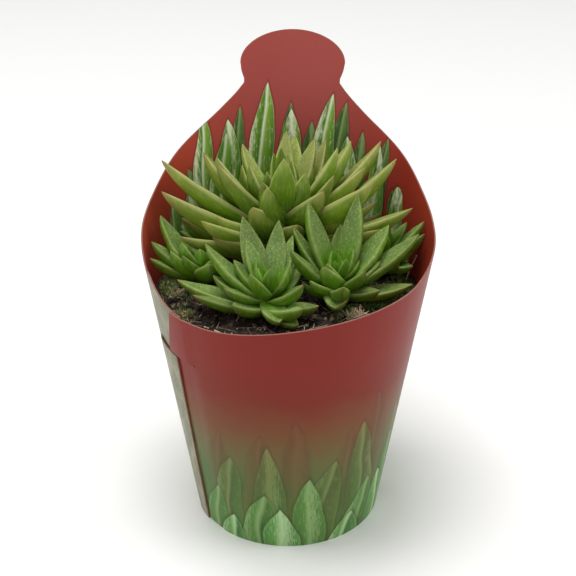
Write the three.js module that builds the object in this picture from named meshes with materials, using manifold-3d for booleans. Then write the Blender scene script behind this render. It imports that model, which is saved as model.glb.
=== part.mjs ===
// A haworthia in its nursery pot, standing in a rolled card sleeve.
//
// Millimetres, +Z up. The origin is the middle of the pot's base, on the table.
// The low front rim of the sleeve faces -Y and the tall back panel stands at +Y.
// Azimuths are in degrees: 0 points to the front (-Y), 90 to the right (+X) and
// 180 to the back.

import * as THREE from "three";
import { mergeVertices } from "three/addons/utils/BufferGeometryUtils.js";
import Module from "manifold-3d";

const wasm = await Module();
wasm.setup();

// ---------------------------------------------------------------------------
// Driving dimensions
// ---------------------------------------------------------------------------

// Card sleeve: a cone of thin card, widening upwards.
const SLEEVE_BASE_R = 31; // outer radius at the table
const SLEEVE_FLARE = 0.16; // radius gained per mm of height
const CARD_T = 0.5; // card thickness
const COLUMN_STEP = 7.5; // degrees between the sheet's columns

// Height of the card's upper edge by azimuth, the same on both sides.
const RIM_HEIGHTS = [
  [0, 91],
  [54, 91],
  [75, 95.5],
  [90, 99.5],
  [112, 106],
  [130, 114.5],
  [149, 123],
  [162, 131.5],
];
const RIM_SKEW = 3.5; // the sheet is rolled askew: higher at the right front
const RIM_SKEW_END = 95; // azimuth where the skew has died away
const PANEL_LEAN = 1.8; // degrees that the tall back panel is twisted to the right
const LEAN_FROM_Z = 95; // height where the twist starts
const LEAN_FULL_Z = 140; // and where it is whole

// Rounded tab above the neck of the back panel.
const NECK_AZIMUTH = 162; // the columns behind this carry the neck and the tab
const NECK_Z = 133.3;
const NECK_HALF = 16.2; // half the neck's width along the card
const TAB_LOWER_Z = 136.4;
const TAB_LOWER_HALF = 17.4;
const TAB_MIDDLE_Z = 139.5;
const TAB_HALF = 17.9; // half the tab's greatest width
const TAB_RISE = 10; // from its widest place to its top
const TAB_COLUMNS = 12;

// Slit-lock seam at the left. Each end of the sheet is slit level into an upper
// and a lower flap. The front end's upper flap lies outside and its lower one
// inside, and the side end's flaps lie the other way round.
const SLIT_Z = 70;
const SLIT_HALF = 0.3; // half the slit's height
const FLAP_OFFSET = 0.35; // a flap's distance from the cone, out or in
const FLAP_RAMP = 3; // degrees over which a flap leaves the cone
const FRONT_SLIT_ROOT = -43;
const FRONT_UPPER_EDGE = { atSlit: -61, atRim: -53.5 };
const FRONT_LOWER_EDGE = -70;
const SIDE_SLIT_ROOT = -76;
const SIDE_UPPER_EDGE = -48;
const SIDE_LOWER_EDGE = { atFoot: -59.5, atSlit: -55.5 };
const FLAP_COLUMNS = 4;
const SHEET_LEVELS = [0, 22, 45];

// Nursery pot, 85 mm across its rim.
const POT_H = 76;
const POT_BASE_R = 28.2;
const POT_WALL = 1;
const POT_FLOOR = 1.2;
const POT_LIP_H = 8.4;
const POT_LIP_TOP_R = 41.9;
const POT_LIP_FOOT_R = 40.6;
const POT_NECK_R = 39.1; // outside of the wall, just under the lip
const POT_MOUTH_R = 39.9; // inside of the lip at the top
const POT_SEGMENTS = 40;
const DRAIN_HOLES = 6;
const DRAIN_R = 3.2;
const DRAIN_CIRCLE_R = 19;

// Potting soil, heaped over the lip and out to the card.
const GAP = 0.3; // clearance between touching pieces
const SOIL_Z = 80;
const SOIL_EDGE_R = 42.1; // where the heap passes over the lip
const SOIL_RINGS = [7, 14, 21, 28, 35, 39.5];
const SOIL_SEGMENTS = 36;
const MOUND = { x: -40, y: -2, height: 5, spread: 6.5 }; // mossy clump, left
const SWELL = { height: 0.9, perX: 0.21, perY: 0.17, startX: 1.1, startY: -0.6 };
const RIPPLE = { height: 0.5, perX: 0.47, perY: 0.43, startX: -0.9, startY: 0.4 };
const SOIL_EDGE_DROP = 0.5; // the heap's shoulder lies this far below its surface

// A leaf: share of its greatest width, and of its greatest thickness, along it.
const LEAF_STATIONS = [
  { s: 0, width: 0.64, thick: 0.8 },
  { s: 0.34, width: 0.97, thick: 1 },
  { s: 0.64, width: 0.93, thick: 0.92 },
  { s: 0.87, width: 0.52, thick: 0.58 },
];
const LEAF_THICKNESS = 0.45; // greatest thickness, as a share of the width
const LEAF_SHOULDER = 0.62; // lower facets' break, as a share of half the width
const LEAF_SHOULDER_DEPTH = 0.72; // and of the thickness
const LEAF_CURL = 14; // degrees that a leaf bends up from root to tip
const STEM_SIDES = 10;
const STEM_FOOT_Z = 71;
const STEM_TAPER = 0.6; // its top's radius, as a share of its foot's
const GOLDEN_ANGLE = 137.5;

// Hand-set leaves of each rosette: azimuth and rise in degrees, length and
// greatest width, and the height of its root on the stem. The leaves at a rosette's
// sides are rolled by up to its roll, in degrees, so that their upper faces look back.
// prettier-ignore
const ROSETTES = [
  {
    name: "rosette_main", x: -2, y: 15, stemR: 3.2, heartZ: 103, roll: 24,
    leaves: [
      [-97, 31, 46, 10, 94], [-88, 25, 43, 11, 91], [-113, 39, 36, 10, 95],
      [-103, 46, 31, 11, 96], [-80, 48, 30, 8, 97], [-132, 54, 29, 8, 97],
      [-98, 60, 21, 8, 99], [-60, 70, 17, 6, 101], [-150, 76, 19, 5, 102],
      [172, 82, 20, 6, 103], [179, 43, 33, 8, 97], [168, 43, 34, 10, 95],
      [152, 47, 31, 8, 97], [150, 38, 36, 9, 94], [122, 43, 36, 10, 96],
      [105, 52, 30, 9, 98], [115, 36, 45, 10, 93], [94, 37, 34, 9, 96],
      [103, 33, 46, 10, 91], [68, 35, 39, 11, 95], [48, 43, 26, 10, 97],
      [1, 66, 29, 9, 99], [-40, 42, 20, 12, 95], [20, 35, 18, 10, 93],
      [63, 34, 27, 9, 91], [87, 19, 45, 10, 89], [-64, 27, 27, 10, 92.5],
      [-72, 14, 36, 9, 89], [-54, 21, 28, 9, 89.5], [-84, 46, 25, 8, 96],
    ],
    grown: { count: 26, length: [38, 16], rise: [8, 66], width: 10, rootZ: [87, 100] },
  },
  {
    name: "rosette_front_left", x: -6, y: -15, stemR: 2.4, heartZ: 89, roll: 0,
    leaves: [
      [-152, 52, 27, 8.5, 86], [-98, 42, 27, 7.5, 85], [-95, 12, 30, 8, 84],
      [-76, 15, 25, 6.5, 83.2], [-50, 17, 15, 8, 84], [-70, 23, 16, 6, 86],
      [166, 52, 25, 7.5, 86], [148, 50, 22, 6, 85], [-130, 60, 18, 6.5, 88],
      [-100, 42, 15, 6.5, 88], [-90, 66, 8, 4.5, 89], [127, 35, 18, 5.5, 83.5],
      [72, 11, 17, 7, 83], [14, -4, 15, 8, 86.5], [30, 6, 18, 6, 83],
    ],
    grown: { count: 9, length: [22, 9], rise: [14, 74], width: 7, rootZ: [83, 89] },
  },
  {
    name: "rosette_front_right", x: 16, y: -7, stemR: 2.4, heartZ: 90, roll: 0,
    leaves: [
      [-128, 67, 29, 8, 86], [137, 73, 30, 8, 86], [176, 56, 18, 6.5, 88],
      [132, 52, 12, 5.5, 89], [115, 47, 25, 8.5, 86], [99, 34, 31, 7.5, 85],
      [92, 34, 16, 6, 85.5], [84, 9, 24, 7, 83.5], [64, 13, 15, 7, 84.5],
      [-7, -6, 15, 8.5, 87.5], [-72, 45, 23, 7, 85.5], [-114, 50, 25, 6, 85],
      [-72, 28, 14, 6, 83], [-30, 47, 12, 8, 87.5], [96, 44, 9, 5, 88.5],
    ],
    grown: { count: 8, length: [20, 9], rise: [14, 74], width: 7, rootZ: [83, 89] },
  },
  {
    name: "rosette_left", x: -28, y: 3, stemR: 2.2, heartZ: 88, roll: 0,
    leaves: [
      [-110, 52, 23, 7.5, 85], [-84, 38, 20, 7, 85], [-70, 30, 20, 6, 84],
      [-98, 44, 15, 8, 87], [-60, 58, 13, 7, 87], [22, 40, 13, 8.5, 85],
    ],
    grown: { count: 10, length: [18, 8], rise: [16, 74], width: 6.5, rootZ: [83, 88] },
  },
  {
    name: "rosette_right", x: 30, y: 14, stemR: 2.2, heartZ: 88, roll: 0,
    leaves: [
      [76, 46, 21, 6.5, 85], [58, 40, 22, 6.5, 84.5], [44, 15, 16, 6, 83.5],
    ],
    grown: { count: 12, length: [20, 8], rise: [16, 74], width: 6.5, rootZ: [83, 88] },
  },
  {
    name: "rosette_back_left", x: -24, y: 26, stemR: 2, heartZ: 87, roll: 0, leaves: [],
    grown: { count: 14, length: [17, 8], rise: [22, 76], width: 6, rootZ: [83, 87] },
  },
  {
    name: "rosette_back_right", x: 20, y: 30, stemR: 2, heartZ: 87, roll: 0, leaves: [],
    grown: { count: 14, length: [17, 8], rise: [24, 76], width: 6, rootZ: [83, 87] },
  },
];

// A grown leaf is tried at these turns from its first place until it is clear
// of the leaves round it, and is left out where it never is.
const TRY_TURNS = [0, 14, -14, 28, -28, 42, -42];
const TRY_RISES = [0, 10, -8, 20];
const STEEPEST_RISE = 84;
const CLEAR_OF_OTHERS = 0.7; // kept free between leaves of two rosettes
const CLEAR_OF_OWN = -2.2; // leaves of one rosette may touch near their roots
const FREE_ROOT = 0.45; // the share of a leaf that its own rosette may cross
const SAMPLES_ALONG = 12;
const TAPER_FROM = 0.5; // share of its length where a leaf starts to narrow
const TIP_NARROWING = 1.1; // how fast it narrows there, for telling leaves apart
const THINNING_LAG = 0.3; // it thins this much later than it narrows

// How far a grown leaf may differ from its rule, each way.
const TURN_SPREAD = 5; // degrees
const RISE_SPREAD = 3; // degrees
const LENGTH_SPREAD = 0.08; // as a share of the length
const WIDTH_SPREAD = 0.1; // as a share of the width
const HEART_WIDTH = 0.75; // width of the innermost leaf, as a share of the first
const SEED = 11;

// Colours.
const CARD_COLOUR = 0x8f2a22;
const POT_COLOUR = 0x1c1c1d;
const SOIL_COLOUR = 0x2b241d;
const LEAF_COLOUR = 0x6f9438;

// ---------------------------------------------------------------------------
// Small helpers
// ---------------------------------------------------------------------------

const radians = THREE.MathUtils.degToRad;
const lerp = THREE.MathUtils.lerp;
const sleeveRadius = (z) => SLEEVE_BASE_R + SLEEVE_FLARE * z;

let randomState = SEED;
function random() {
  randomState = (randomState * 16807) % 2147483647;
  return randomState / 2147483647;
}

/** A random number from -spread to spread. */
function vary(spread) {
  return spread * (2 * random() - 1);
}

function polar(azimuth, radius, z) {
  const a = radians(azimuth);
  return new THREE.Vector3(radius * Math.sin(a), -radius * Math.cos(a), z);
}

function solidOf(geometry) {
  const bare = geometry.index ? geometry.toNonIndexed() : geometry.clone();
  bare.deleteAttribute("normal");
  bare.deleteAttribute("uv");
  const merged = mergeVertices(bare, 1e-4);
  return new wasm.Manifold(
    new wasm.Mesh({
      numProp: 3,
      vertProperties: new Float32Array(merged.attributes.position.array),
      triVerts: new Uint32Array(merged.index.array),
    }),
  );
}

function geometryOf(solid) {
  const mesh = solid.getMesh();
  const geometry = new THREE.BufferGeometry();
  geometry.setAttribute("position", new THREE.BufferAttribute(mesh.vertProperties, 3));
  geometry.setIndex(new THREE.BufferAttribute(mesh.triVerts, 1));
  return geometry;
}

function geometryFrom(points, triangles) {
  const geometry = new THREE.BufferGeometry();
  const flat = points.flatMap((p) => [p.x, p.y, p.z]);
  geometry.setAttribute("position", new THREE.Float32BufferAttribute(flat, 3));
  geometry.setIndex(triangles);
  return geometry;
}

function meshOf(name, geometry, color, roughness) {
  const material = new THREE.MeshStandardMaterial({ color, roughness, metalness: 0 });
  const mesh = new THREE.Mesh(geometry, material);
  mesh.name = name;
  return mesh;
}

// ---------------------------------------------------------------------------
// Card sleeve
// ---------------------------------------------------------------------------

/** Smooth curve through pairs [x, y], level at its first point. */
function smoothThrough(pairs, x) {
  const last = pairs.length - 1;
  const i = Math.min(Math.max(pairs.findIndex(([px]) => px > x) - 1, 0), last - 1);
  const at = x >= pairs[last][0] ? last - 1 : i;
  const slope = (k) => {
    if (k === 0) return 0;
    const [a, b] = [pairs[k - 1], pairs[Math.min(k + 1, last)]];
    return (b[1] - a[1]) / (b[0] - a[0]);
  };
  const [x0, y0] = pairs[at];
  const [x1, y1] = pairs[at + 1];
  const span = x1 - x0;
  const t = (x - x0) / span;
  const [t2, t3] = [t * t, t * t * t];
  const rise = (2 * t3 - 3 * t2 + 1) * y0 + (3 * t2 - 2 * t3) * y1;
  return rise + span * ((t3 - 2 * t2 + t) * slope(at) + (t3 - t2) * slope(at + 1));
}

/** Height of the card's upper edge at an azimuth from -180 to 180. */
function rimHeight(azimuth) {
  const turn = Math.min(Math.abs(azimuth), NECK_AZIMUTH);
  const fade = Math.max(0, Math.sin((Math.PI * turn) / RIM_SKEW_END));
  return smoothThrough(RIM_HEIGHTS, turn) + Math.sign(azimuth) * RIM_SKEW * fade;
}

/** Half the width of the neck and tab, along the card, at a height. */
function tabHalf(z) {
  if (z <= NECK_Z) return NECK_HALF;
  if (z < TAB_LOWER_Z) {
    return lerp(NECK_HALF, TAB_LOWER_HALF, (z - NECK_Z) / (TAB_LOWER_Z - NECK_Z));
  }
  if (z < TAB_MIDDLE_Z) {
    const t = (TAB_MIDDLE_Z - z) / (TAB_MIDDLE_Z - TAB_LOWER_Z);
    return TAB_HALF - (TAB_HALF - TAB_LOWER_HALF) * t * t;
  }
  return TAB_HALF * Math.sqrt(1 - ((z - TAB_MIDDLE_Z) / TAB_RISE) ** 2);
}

/** Degrees that the card is twisted to the right at a height. */
function panelLean(z) {
  return PANEL_LEAN * THREE.MathUtils.clamp((z - LEAN_FROM_Z) / (LEAN_FULL_Z - LEAN_FROM_Z), 0, 1);
}

/** Closed solid of a thin sheet, from its grid cells on the two faces. */
function sheetSolid(nodes, cells) {
  const face = (depth) =>
    nodes.map(({ azimuth, z, offset }) =>
      polar(azimuth - panelLean(z), sleeveRadius(z) + offset - depth, z),
    );
  const [outer, inner] = [face(0), face(CARD_T)];
  const count = nodes.length;
  const triangles = [];
  const edges = new Map();
  for (const [a, b, c, d] of cells) {
    triangles.push(a, b, c, a, c, d);
    triangles.push(count + a, count + c, count + b, count + a, count + d, count + c);
    for (const [p, q] of [[a, b], [b, c], [c, d], [d, a]]) {
      if (edges.has(`${q},${p}`)) edges.delete(`${q},${p}`);
      else edges.set(`${p},${q}`, [p, q]);
    }
  }
  for (const [p, q] of edges.values()) {
    triangles.push(q, p, count + p, q, count + p, count + q);
  }
  return geometryFrom([...outer, ...inner], triangles);
}

/** Columns of the front end's flaps, from their edges to the slit's root. */
function frontFlapColumn(step) {
  const t = step / FLAP_COLUMNS;
  return (z) => {
    const upper = z > SLIT_Z;
    const up = (z - SLIT_Z) / (rimHeight(FRONT_UPPER_EDGE.atRim) - SLIT_Z);
    const edge = upper
      ? lerp(FRONT_UPPER_EDGE.atSlit, FRONT_UPPER_EDGE.atRim, up)
      : FRONT_LOWER_EDGE;
    const flatEnd = FRONT_SLIT_ROOT - FLAP_RAMP;
    const offset = upper ? FLAP_OFFSET : -FLAP_OFFSET;
    return { azimuth: lerp(edge, flatEnd, t), offset };
  };
}

/** Columns of the side end's flaps, from the slit's root to their edges. */
function sideFlapColumn(step) {
  const t = step / FLAP_COLUMNS;
  return (z) => {
    const upper = z > SLIT_Z;
    const edge = upper
      ? SIDE_UPPER_EDGE
      : lerp(SIDE_LOWER_EDGE.atFoot, SIDE_LOWER_EDGE.atSlit, z / SLIT_Z);
    const flatStart = SIDE_SLIT_ROOT + FLAP_RAMP;
    const offset = upper ? -FLAP_OFFSET : FLAP_OFFSET;
    return { azimuth: lerp(flatStart, edge, t), offset };
  };
}

function sleeveGeometry() {
  const levels = [...SHEET_LEVELS, SLIT_Z - SLIT_HALF, SLIT_Z + SLIT_HALF];
  const slitBand = levels.length - 2; // the band of cells that the slit removes
  const columns = [];
  for (let step = 0; step <= FLAP_COLUMNS; step++) {
    columns.push({ at: frontFlapColumn(step), slit: true });
  }
  const plain = (azimuth) => () => ({ azimuth, offset: 0 });
  const addPlain = (from, to) => {
    const steps = Math.round((to - from) / COLUMN_STEP);
    for (let k = 0; k <= steps; k++) {
      columns.push({ at: plain(lerp(from, to, k / steps)), slit: false });
    }
  };
  addPlain(FRONT_SLIT_ROOT, NECK_AZIMUTH);
  for (let k = 1; k < TAB_COLUMNS; k++) {
    const azimuth = lerp(NECK_AZIMUTH, 360 - NECK_AZIMUTH, k / TAB_COLUMNS);
    columns.push({ at: plain(azimuth), slit: false, tab: true });
  }
  addPlain(360 - NECK_AZIMUTH, 360 + SIDE_SLIT_ROOT);
  for (let step = 0; step <= FLAP_COLUMNS; step++) {
    columns.push({ at: sideFlapColumn(step), slit: true });
  }

  const nodes = [];
  const grid = columns.map(({ at, tab }) => {
    const column = levels.map((z) => nodes.push({ z, ...at(z) }) - 1);
    const turned = THREE.MathUtils.euclideanModulo(at(SLIT_Z + 1).azimuth + 180, 360) - 180;
    const top = tab ? rimHeight(NECK_AZIMUTH) : rimHeight(turned);
    column.push(nodes.push({ z: top, ...at(top) }) - 1);
    return column;
  });

  const cells = [];
  for (let c = 0; c + 1 < grid.length; c++) {
    for (let r = 0; r < levels.length; r++) {
      if (r === slitBand && (columns[c].slit || columns[c + 1].slit)) continue;
      cells.push([grid[c][r], grid[c + 1][r], grid[c + 1][r + 1], grid[c][r + 1]]);
    }
  }
  addTab(nodes, cells, grid, columns);
  return sheetSolid(nodes, cells);
}

/** Rows of the neck and the tab, above the back columns. */
function addTab(nodes, cells, grid, columns) {
  const first = columns.findIndex((c) => c.tab) - 1;
  const ovalAt = (turn) => TAB_MIDDLE_Z + TAB_RISE * Math.sin(radians(turn));
  const rows = [NECK_Z, TAB_LOWER_Z, TAB_MIDDLE_Z, ovalAt(18), ovalAt(34), ovalAt(48)];
  const topHalf = TAB_HALF * Math.cos(radians(56));
  const topZ = (x) => TAB_MIDDLE_Z + TAB_RISE * Math.sqrt(1 - (x / TAB_HALF) ** 2);
  let below = grid.slice(first, first + TAB_COLUMNS + 1).map((column) => column.at(-1));
  for (let r = 0; r <= rows.length; r++) {
    const row = [];
    for (let k = 0; k <= TAB_COLUMNS; k++) {
      const across = (2 * k) / TAB_COLUMNS - 1;
      const top = r === rows.length;
      const x = across * (top ? topHalf : tabHalf(rows[r]));
      const z = top ? topZ(x) : rows[r];
      const azimuth = 180 + THREE.MathUtils.radToDeg(x / sleeveRadius(z));
      row.push(nodes.push({ azimuth, z, offset: 0 }) - 1);
    }
    for (let k = 0; k < TAB_COLUMNS; k++) {
      cells.push([below[k], below[k + 1], row[k + 1], row[k]]);
    }
    below = row;
  }
}

// ---------------------------------------------------------------------------
// Nursery pot
// ---------------------------------------------------------------------------

/** Inside radius of the pot's wall at a height. */
function potInside(z) {
  const neckZ = POT_H - POT_LIP_H;
  const base = POT_BASE_R - POT_WALL;
  const neck = POT_NECK_R - POT_WALL;
  if (z < neckZ) return lerp(base, neck, (z - POT_FLOOR) / (neckZ - POT_FLOOR));
  return lerp(neck, POT_MOUTH_R, (z - neckZ) / POT_LIP_H);
}

function potGeometry() {
  const neckZ = POT_H - POT_LIP_H;
  const profile = [
    [0, 0],
    [POT_BASE_R, 0],
    [POT_NECK_R, neckZ - 0.5],
    [POT_LIP_FOOT_R, neckZ],
    [POT_LIP_TOP_R, POT_H],
    [POT_MOUTH_R, POT_H],
    [POT_NECK_R - POT_WALL, neckZ],
    [POT_BASE_R - POT_WALL, POT_FLOOR],
    [0, POT_FLOOR],
  ].map(([r, z]) => new THREE.Vector2(r, z));
  const lathe = new THREE.LatheGeometry(profile, POT_SEGMENTS).rotateX(Math.PI / 2);
  let pot = solidOf(lathe);
  for (let k = 0; k < DRAIN_HOLES; k++) {
    const place = polar((360 * (k + 0.5)) / DRAIN_HOLES, DRAIN_CIRCLE_R, POT_FLOOR / 2);
    const drill = new THREE.CylinderGeometry(DRAIN_R, DRAIN_R, 3 * POT_FLOOR, 16)
      .rotateX(Math.PI / 2)
      .translate(place.x, place.y, place.z);
    pot = pot.subtract(solidOf(drill));
  }
  return geometryOf(pot);
}

// ---------------------------------------------------------------------------
// Soil
// ---------------------------------------------------------------------------

/** Height of the soil's crumbly surface. */
function soilHeight(x, y) {
  const low = Math.sin(SWELL.perX * x + SWELL.startX) * Math.cos(SWELL.perY * y + SWELL.startY);
  const high = Math.sin(RIPPLE.perX * x + RIPPLE.startX) * Math.sin(RIPPLE.perY * y + RIPPLE.startY);
  const away = ((x - MOUND.x) ** 2 + (y - MOUND.y) ** 2) / (2 * MOUND.spread ** 2);
  const heap = MOUND.height * Math.exp(-away);
  return SOIL_Z + SWELL.height * low + RIPPLE.height * high + heap;
}

function soilGeometry() {
  const lipTop = POT_H + GAP;
  const points = [new THREE.Vector3(0, 0, soilHeight(0, 0))];
  const rings = [];
  const addRing = (place) => {
    const ring = [];
    for (let k = 0; k < SOIL_SEGMENTS; k++) {
      ring.push(points.push(place((360 * k) / SOIL_SEGMENTS)) - 1);
    }
    rings.push(ring);
  };
  const onTop = (radius) => (azimuth) => {
    const p = polar(azimuth, radius, 0);
    return p.setZ(soilHeight(p.x, p.y));
  };
  SOIL_RINGS.forEach((radius) => addRing(onTop(radius)));
  addRing((azimuth) => {
    const p = onTop(SOIL_EDGE_R)(azimuth);
    const z = p.z - SOIL_EDGE_DROP;
    return polar(azimuth, SOIL_EDGE_R + SLEEVE_FLARE * (z - lipTop), z);
  });
  addRing((azimuth) => polar(azimuth, SOIL_EDGE_R, lipTop));
  addRing((azimuth) => polar(azimuth, potInside(POT_H) - GAP, lipTop));
  for (const z of [POT_H - POT_LIP_H, POT_FLOOR + GAP]) {
    addRing((azimuth) => polar(azimuth, potInside(z) - GAP, z));
  }
  const bottom = points.push(new THREE.Vector3(0, 0, POT_FLOOR + GAP)) - 1;

  const triangles = [];
  for (let k = 0; k < SOIL_SEGMENTS; k++) {
    const next = (k + 1) % SOIL_SEGMENTS;
    triangles.push(0, rings[0][k], rings[0][next]);
    for (let r = 0; r + 1 < rings.length; r++) {
      const [a, b] = [rings[r][k], rings[r][next]];
      const [c, d] = [rings[r + 1][next], rings[r + 1][k]];
      triangles.push(a, d, c, a, c, b);
    }
    triangles.push(bottom, rings.at(-1)[next], rings.at(-1)[k]);
  }
  let soil = solidOf(geometryFrom(points, triangles));
  for (const { x, y, stemR } of ROSETTES) {
    const hole = new THREE.CylinderGeometry(stemR + GAP, stemR + GAP, 2 * SOIL_Z, 16)
      .rotateX(Math.PI / 2)
      .translate(x, y, STEM_FOOT_Z - GAP + SOIL_Z);
    soil = soil.subtract(solidOf(hole));
  }
  return geometryOf(soil);
}

// ---------------------------------------------------------------------------
// Rosettes
// ---------------------------------------------------------------------------

/** A leaf's midline point at share s of its length, and its directions across and up. */
function leafFrame(leaf, s) {
  const start = radians(leaf.rise - LEAF_CURL / 2);
  const bend = radians(LEAF_CURL);
  const turn = start + bend * s;
  const forward = (leaf.length * (Math.sin(turn) - Math.sin(start))) / bend;
  const up = (leaf.length * (Math.cos(start) - Math.cos(turn))) / bend;
  const out = polar(leaf.azimuth, 1, 0);
  const along = out.clone().multiplyScalar(Math.cos(turn)).setZ(Math.sin(turn));
  const roll = radians(-leaf.roll * Math.sin(radians(leaf.azimuth)));
  const side = polar(leaf.azimuth + 90, 1, 0).applyAxisAngle(along, roll);
  const normal = along.clone().cross(side);
  const point = new THREE.Vector3(leaf.x, leaf.y, leaf.rootZ + up);
  point.addScaledVector(out, forward);
  return { point, side, normal };
}

/** Five-sided section: flat above, keeled below. */
function leafSection(leaf, station) {
  const { point, side, normal } = leafFrame(leaf, station.s);
  const half = (leaf.width / 2) * station.width;
  const thick = leaf.width * LEAF_THICKNESS * station.thick;
  const corners = [
    [-1, 0],
    [-LEAF_SHOULDER, -LEAF_SHOULDER_DEPTH],
    [0, -1],
    [LEAF_SHOULDER, -LEAF_SHOULDER_DEPTH],
    [1, 0],
  ];
  return corners.map(([across, down]) =>
    point
      .clone()
      .addScaledVector(side, across * half)
      .addScaledVector(normal, down * thick),
  );
}

function leafSolid(leaf) {
  const points = LEAF_STATIONS.flatMap((station) => leafSection(leaf, station));
  const sides = points.length / LEAF_STATIONS.length;
  const tip = points.push(leafFrame(leaf, 1).point) - 1;
  const triangles = [];
  for (let k = 1; k + 1 < sides; k++) triangles.push(0, k + 1, k);
  for (let k = 0; k < sides; k++) {
    const next = (k + 1) % sides;
    for (let r = 0; r + 1 < LEAF_STATIONS.length; r++) {
      const [a, b] = [r * sides + k, r * sides + next];
      triangles.push(a, b, b + sides, a, b + sides, a + sides);
    }
    const last = (LEAF_STATIONS.length - 1) * sides;
    triangles.push(last + k, last + next, tip);
  }
  return solidOf(geometryFrom(points, triangles));
}

/** Points on a leaf's two edges and midline, for telling leaves apart. */
function leafSamples(leaf) {
  const samples = [];
  for (let k = 1; k <= SAMPLES_ALONG; k++) {
    const s = k / SAMPLES_ALONG;
    const { point, side, normal } = leafFrame(leaf, s);
    const past = (s - TAPER_FROM) / (1 - TAPER_FROM);
    const wide = s < TAPER_FROM ? 1 : Math.max(0, TIP_NARROWING * (1 - past));
    const half = (leaf.width / 2) * Math.min(1, wide);
    const thick = (leaf.width * LEAF_THICKNESS * Math.min(1, THINNING_LAG + wide)) / 2;
    for (const across of [-1, 0, 1]) {
      const place = point.clone().addScaledVector(side, across * half);
      samples.push({ place: place.addScaledVector(normal, -thick), thick, s });
    }
  }
  return samples;
}

function isClear(leaf, grownLeaves) {
  for (const a of leaf.samples) {
    const { x, y, z } = a.place;
    if (z - a.thick < soilHeight(x, y) + GAP) return false;
    if (Math.hypot(x, y) + a.thick > sleeveRadius(z) - CARD_T - FLAP_OFFSET - GAP) {
      return false;
    }
  }
  return grownLeaves.every((other) => {
    const own = other.rosette === leaf.rosette;
    const room = own ? CLEAR_OF_OWN : CLEAR_OF_OTHERS;
    return leaf.samples.every((a) => {
      if (own && a.s < FREE_ROOT) return true;
      return other.samples.every((b) => {
        if (own && b.s < FREE_ROOT) return true;
        return a.place.distanceTo(b.place) > a.thick + b.thick + room;
      });
    });
  });
}

function makeLeaf(rosette, azimuth, rise, length, width, rootZ) {
  const leaf = {
    rosette: rosette.name,
    x: rosette.x,
    y: rosette.y,
    roll: rosette.roll,
    azimuth,
    rise,
    length,
    width,
    rootZ,
  };
  leaf.samples = leafSamples(leaf);
  return leaf;
}

/** All leaves: those set by hand, then those grown by rule where there is room. */
function allLeaves() {
  const leaves = ROSETTES.flatMap((rosette) =>
    rosette.leaves.map((row) => makeLeaf(rosette, ...row)),
  );
  for (const rosette of ROSETTES) {
    const { count, length, rise, width, rootZ } = rosette.grown;
    for (let k = 0; k < count; k++) {
      const t = k / (count - 1);
      const azimuth = GOLDEN_ANGLE * k + vary(TURN_SPREAD);
      const long = lerp(...length, t) * (1 + vary(LENGTH_SPREAD));
      const wide = width * (1 + vary(WIDTH_SPREAD)) * lerp(1, HEART_WIDTH, t);
      const steep = lerp(...rise, t) + vary(RISE_SPREAD);
      const tries = TRY_RISES.flatMap((dr) => TRY_TURNS.map((da) => [da, dr]));
      for (const [da, dr] of tries) {
        const up = Math.min(steep + dr, STEEPEST_RISE);
        const leaf = makeLeaf(rosette, azimuth + da, up, long, wide, lerp(...rootZ, t));
        if (!isClear(leaf, leaves)) continue;
        leaves.push(leaf);
        break;
      }
    }
  }
  return leaves;
}

function stemSolid({ x, y, stemR, heartZ }) {
  const height = heartZ - STEM_FOOT_Z;
  const stem = new THREE.CylinderGeometry(STEM_TAPER * stemR, stemR, height, STEM_SIDES)
    .rotateX(Math.PI / 2)
    .translate(x, y, STEM_FOOT_Z + height / 2);
  return solidOf(stem);
}

/** A rosette's leaves fused to its stem, less any scrap or sealed hollow. */
function rosetteGeometry(rosette, leaves) {
  const own = leaves.filter((leaf) => leaf.rosette === rosette.name);
  const fused = wasm.Manifold.union([stemSolid(rosette), ...own.map(leafSolid)]);
  const bodies = fused.decompose().sort((a, b) => b.volume() - a.volume());
  return geometryOf(bodies[0]);
}

// ---------------------------------------------------------------------------
// The whole part
// ---------------------------------------------------------------------------

const group = new THREE.Group();
group.add(meshOf("card_sleeve", sleeveGeometry(), CARD_COLOUR, 0.3));
group.add(meshOf("nursery_pot", potGeometry(), POT_COLOUR, 0.5));
group.add(meshOf("potting_soil", soilGeometry(), SOIL_COLOUR, 0.95));
const leaves = allLeaves();
for (const rosette of ROSETTES) {
  group.add(meshOf(rosette.name, rosetteGeometry(rosette, leaves), LEAF_COLOUR, 0.5));
}

export default group;
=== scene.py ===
"""A haworthia in its nursery pot, standing in a rolled sleeve of printed card.

Tables and sizes named in the text are in millimetres and degrees; the finished pieces are
in metres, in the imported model's frame: +Z up, the sleeve's low front rim towards -Y and its
tall back panel towards +Y. Azimuth 0 is the front, 90 the right (+X) and 180 the back.
"""

import math
import random
from collections import namedtuple
from functools import partial

import bpy
import numpy as np
from mathutils import Matrix, Vector, noise


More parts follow.
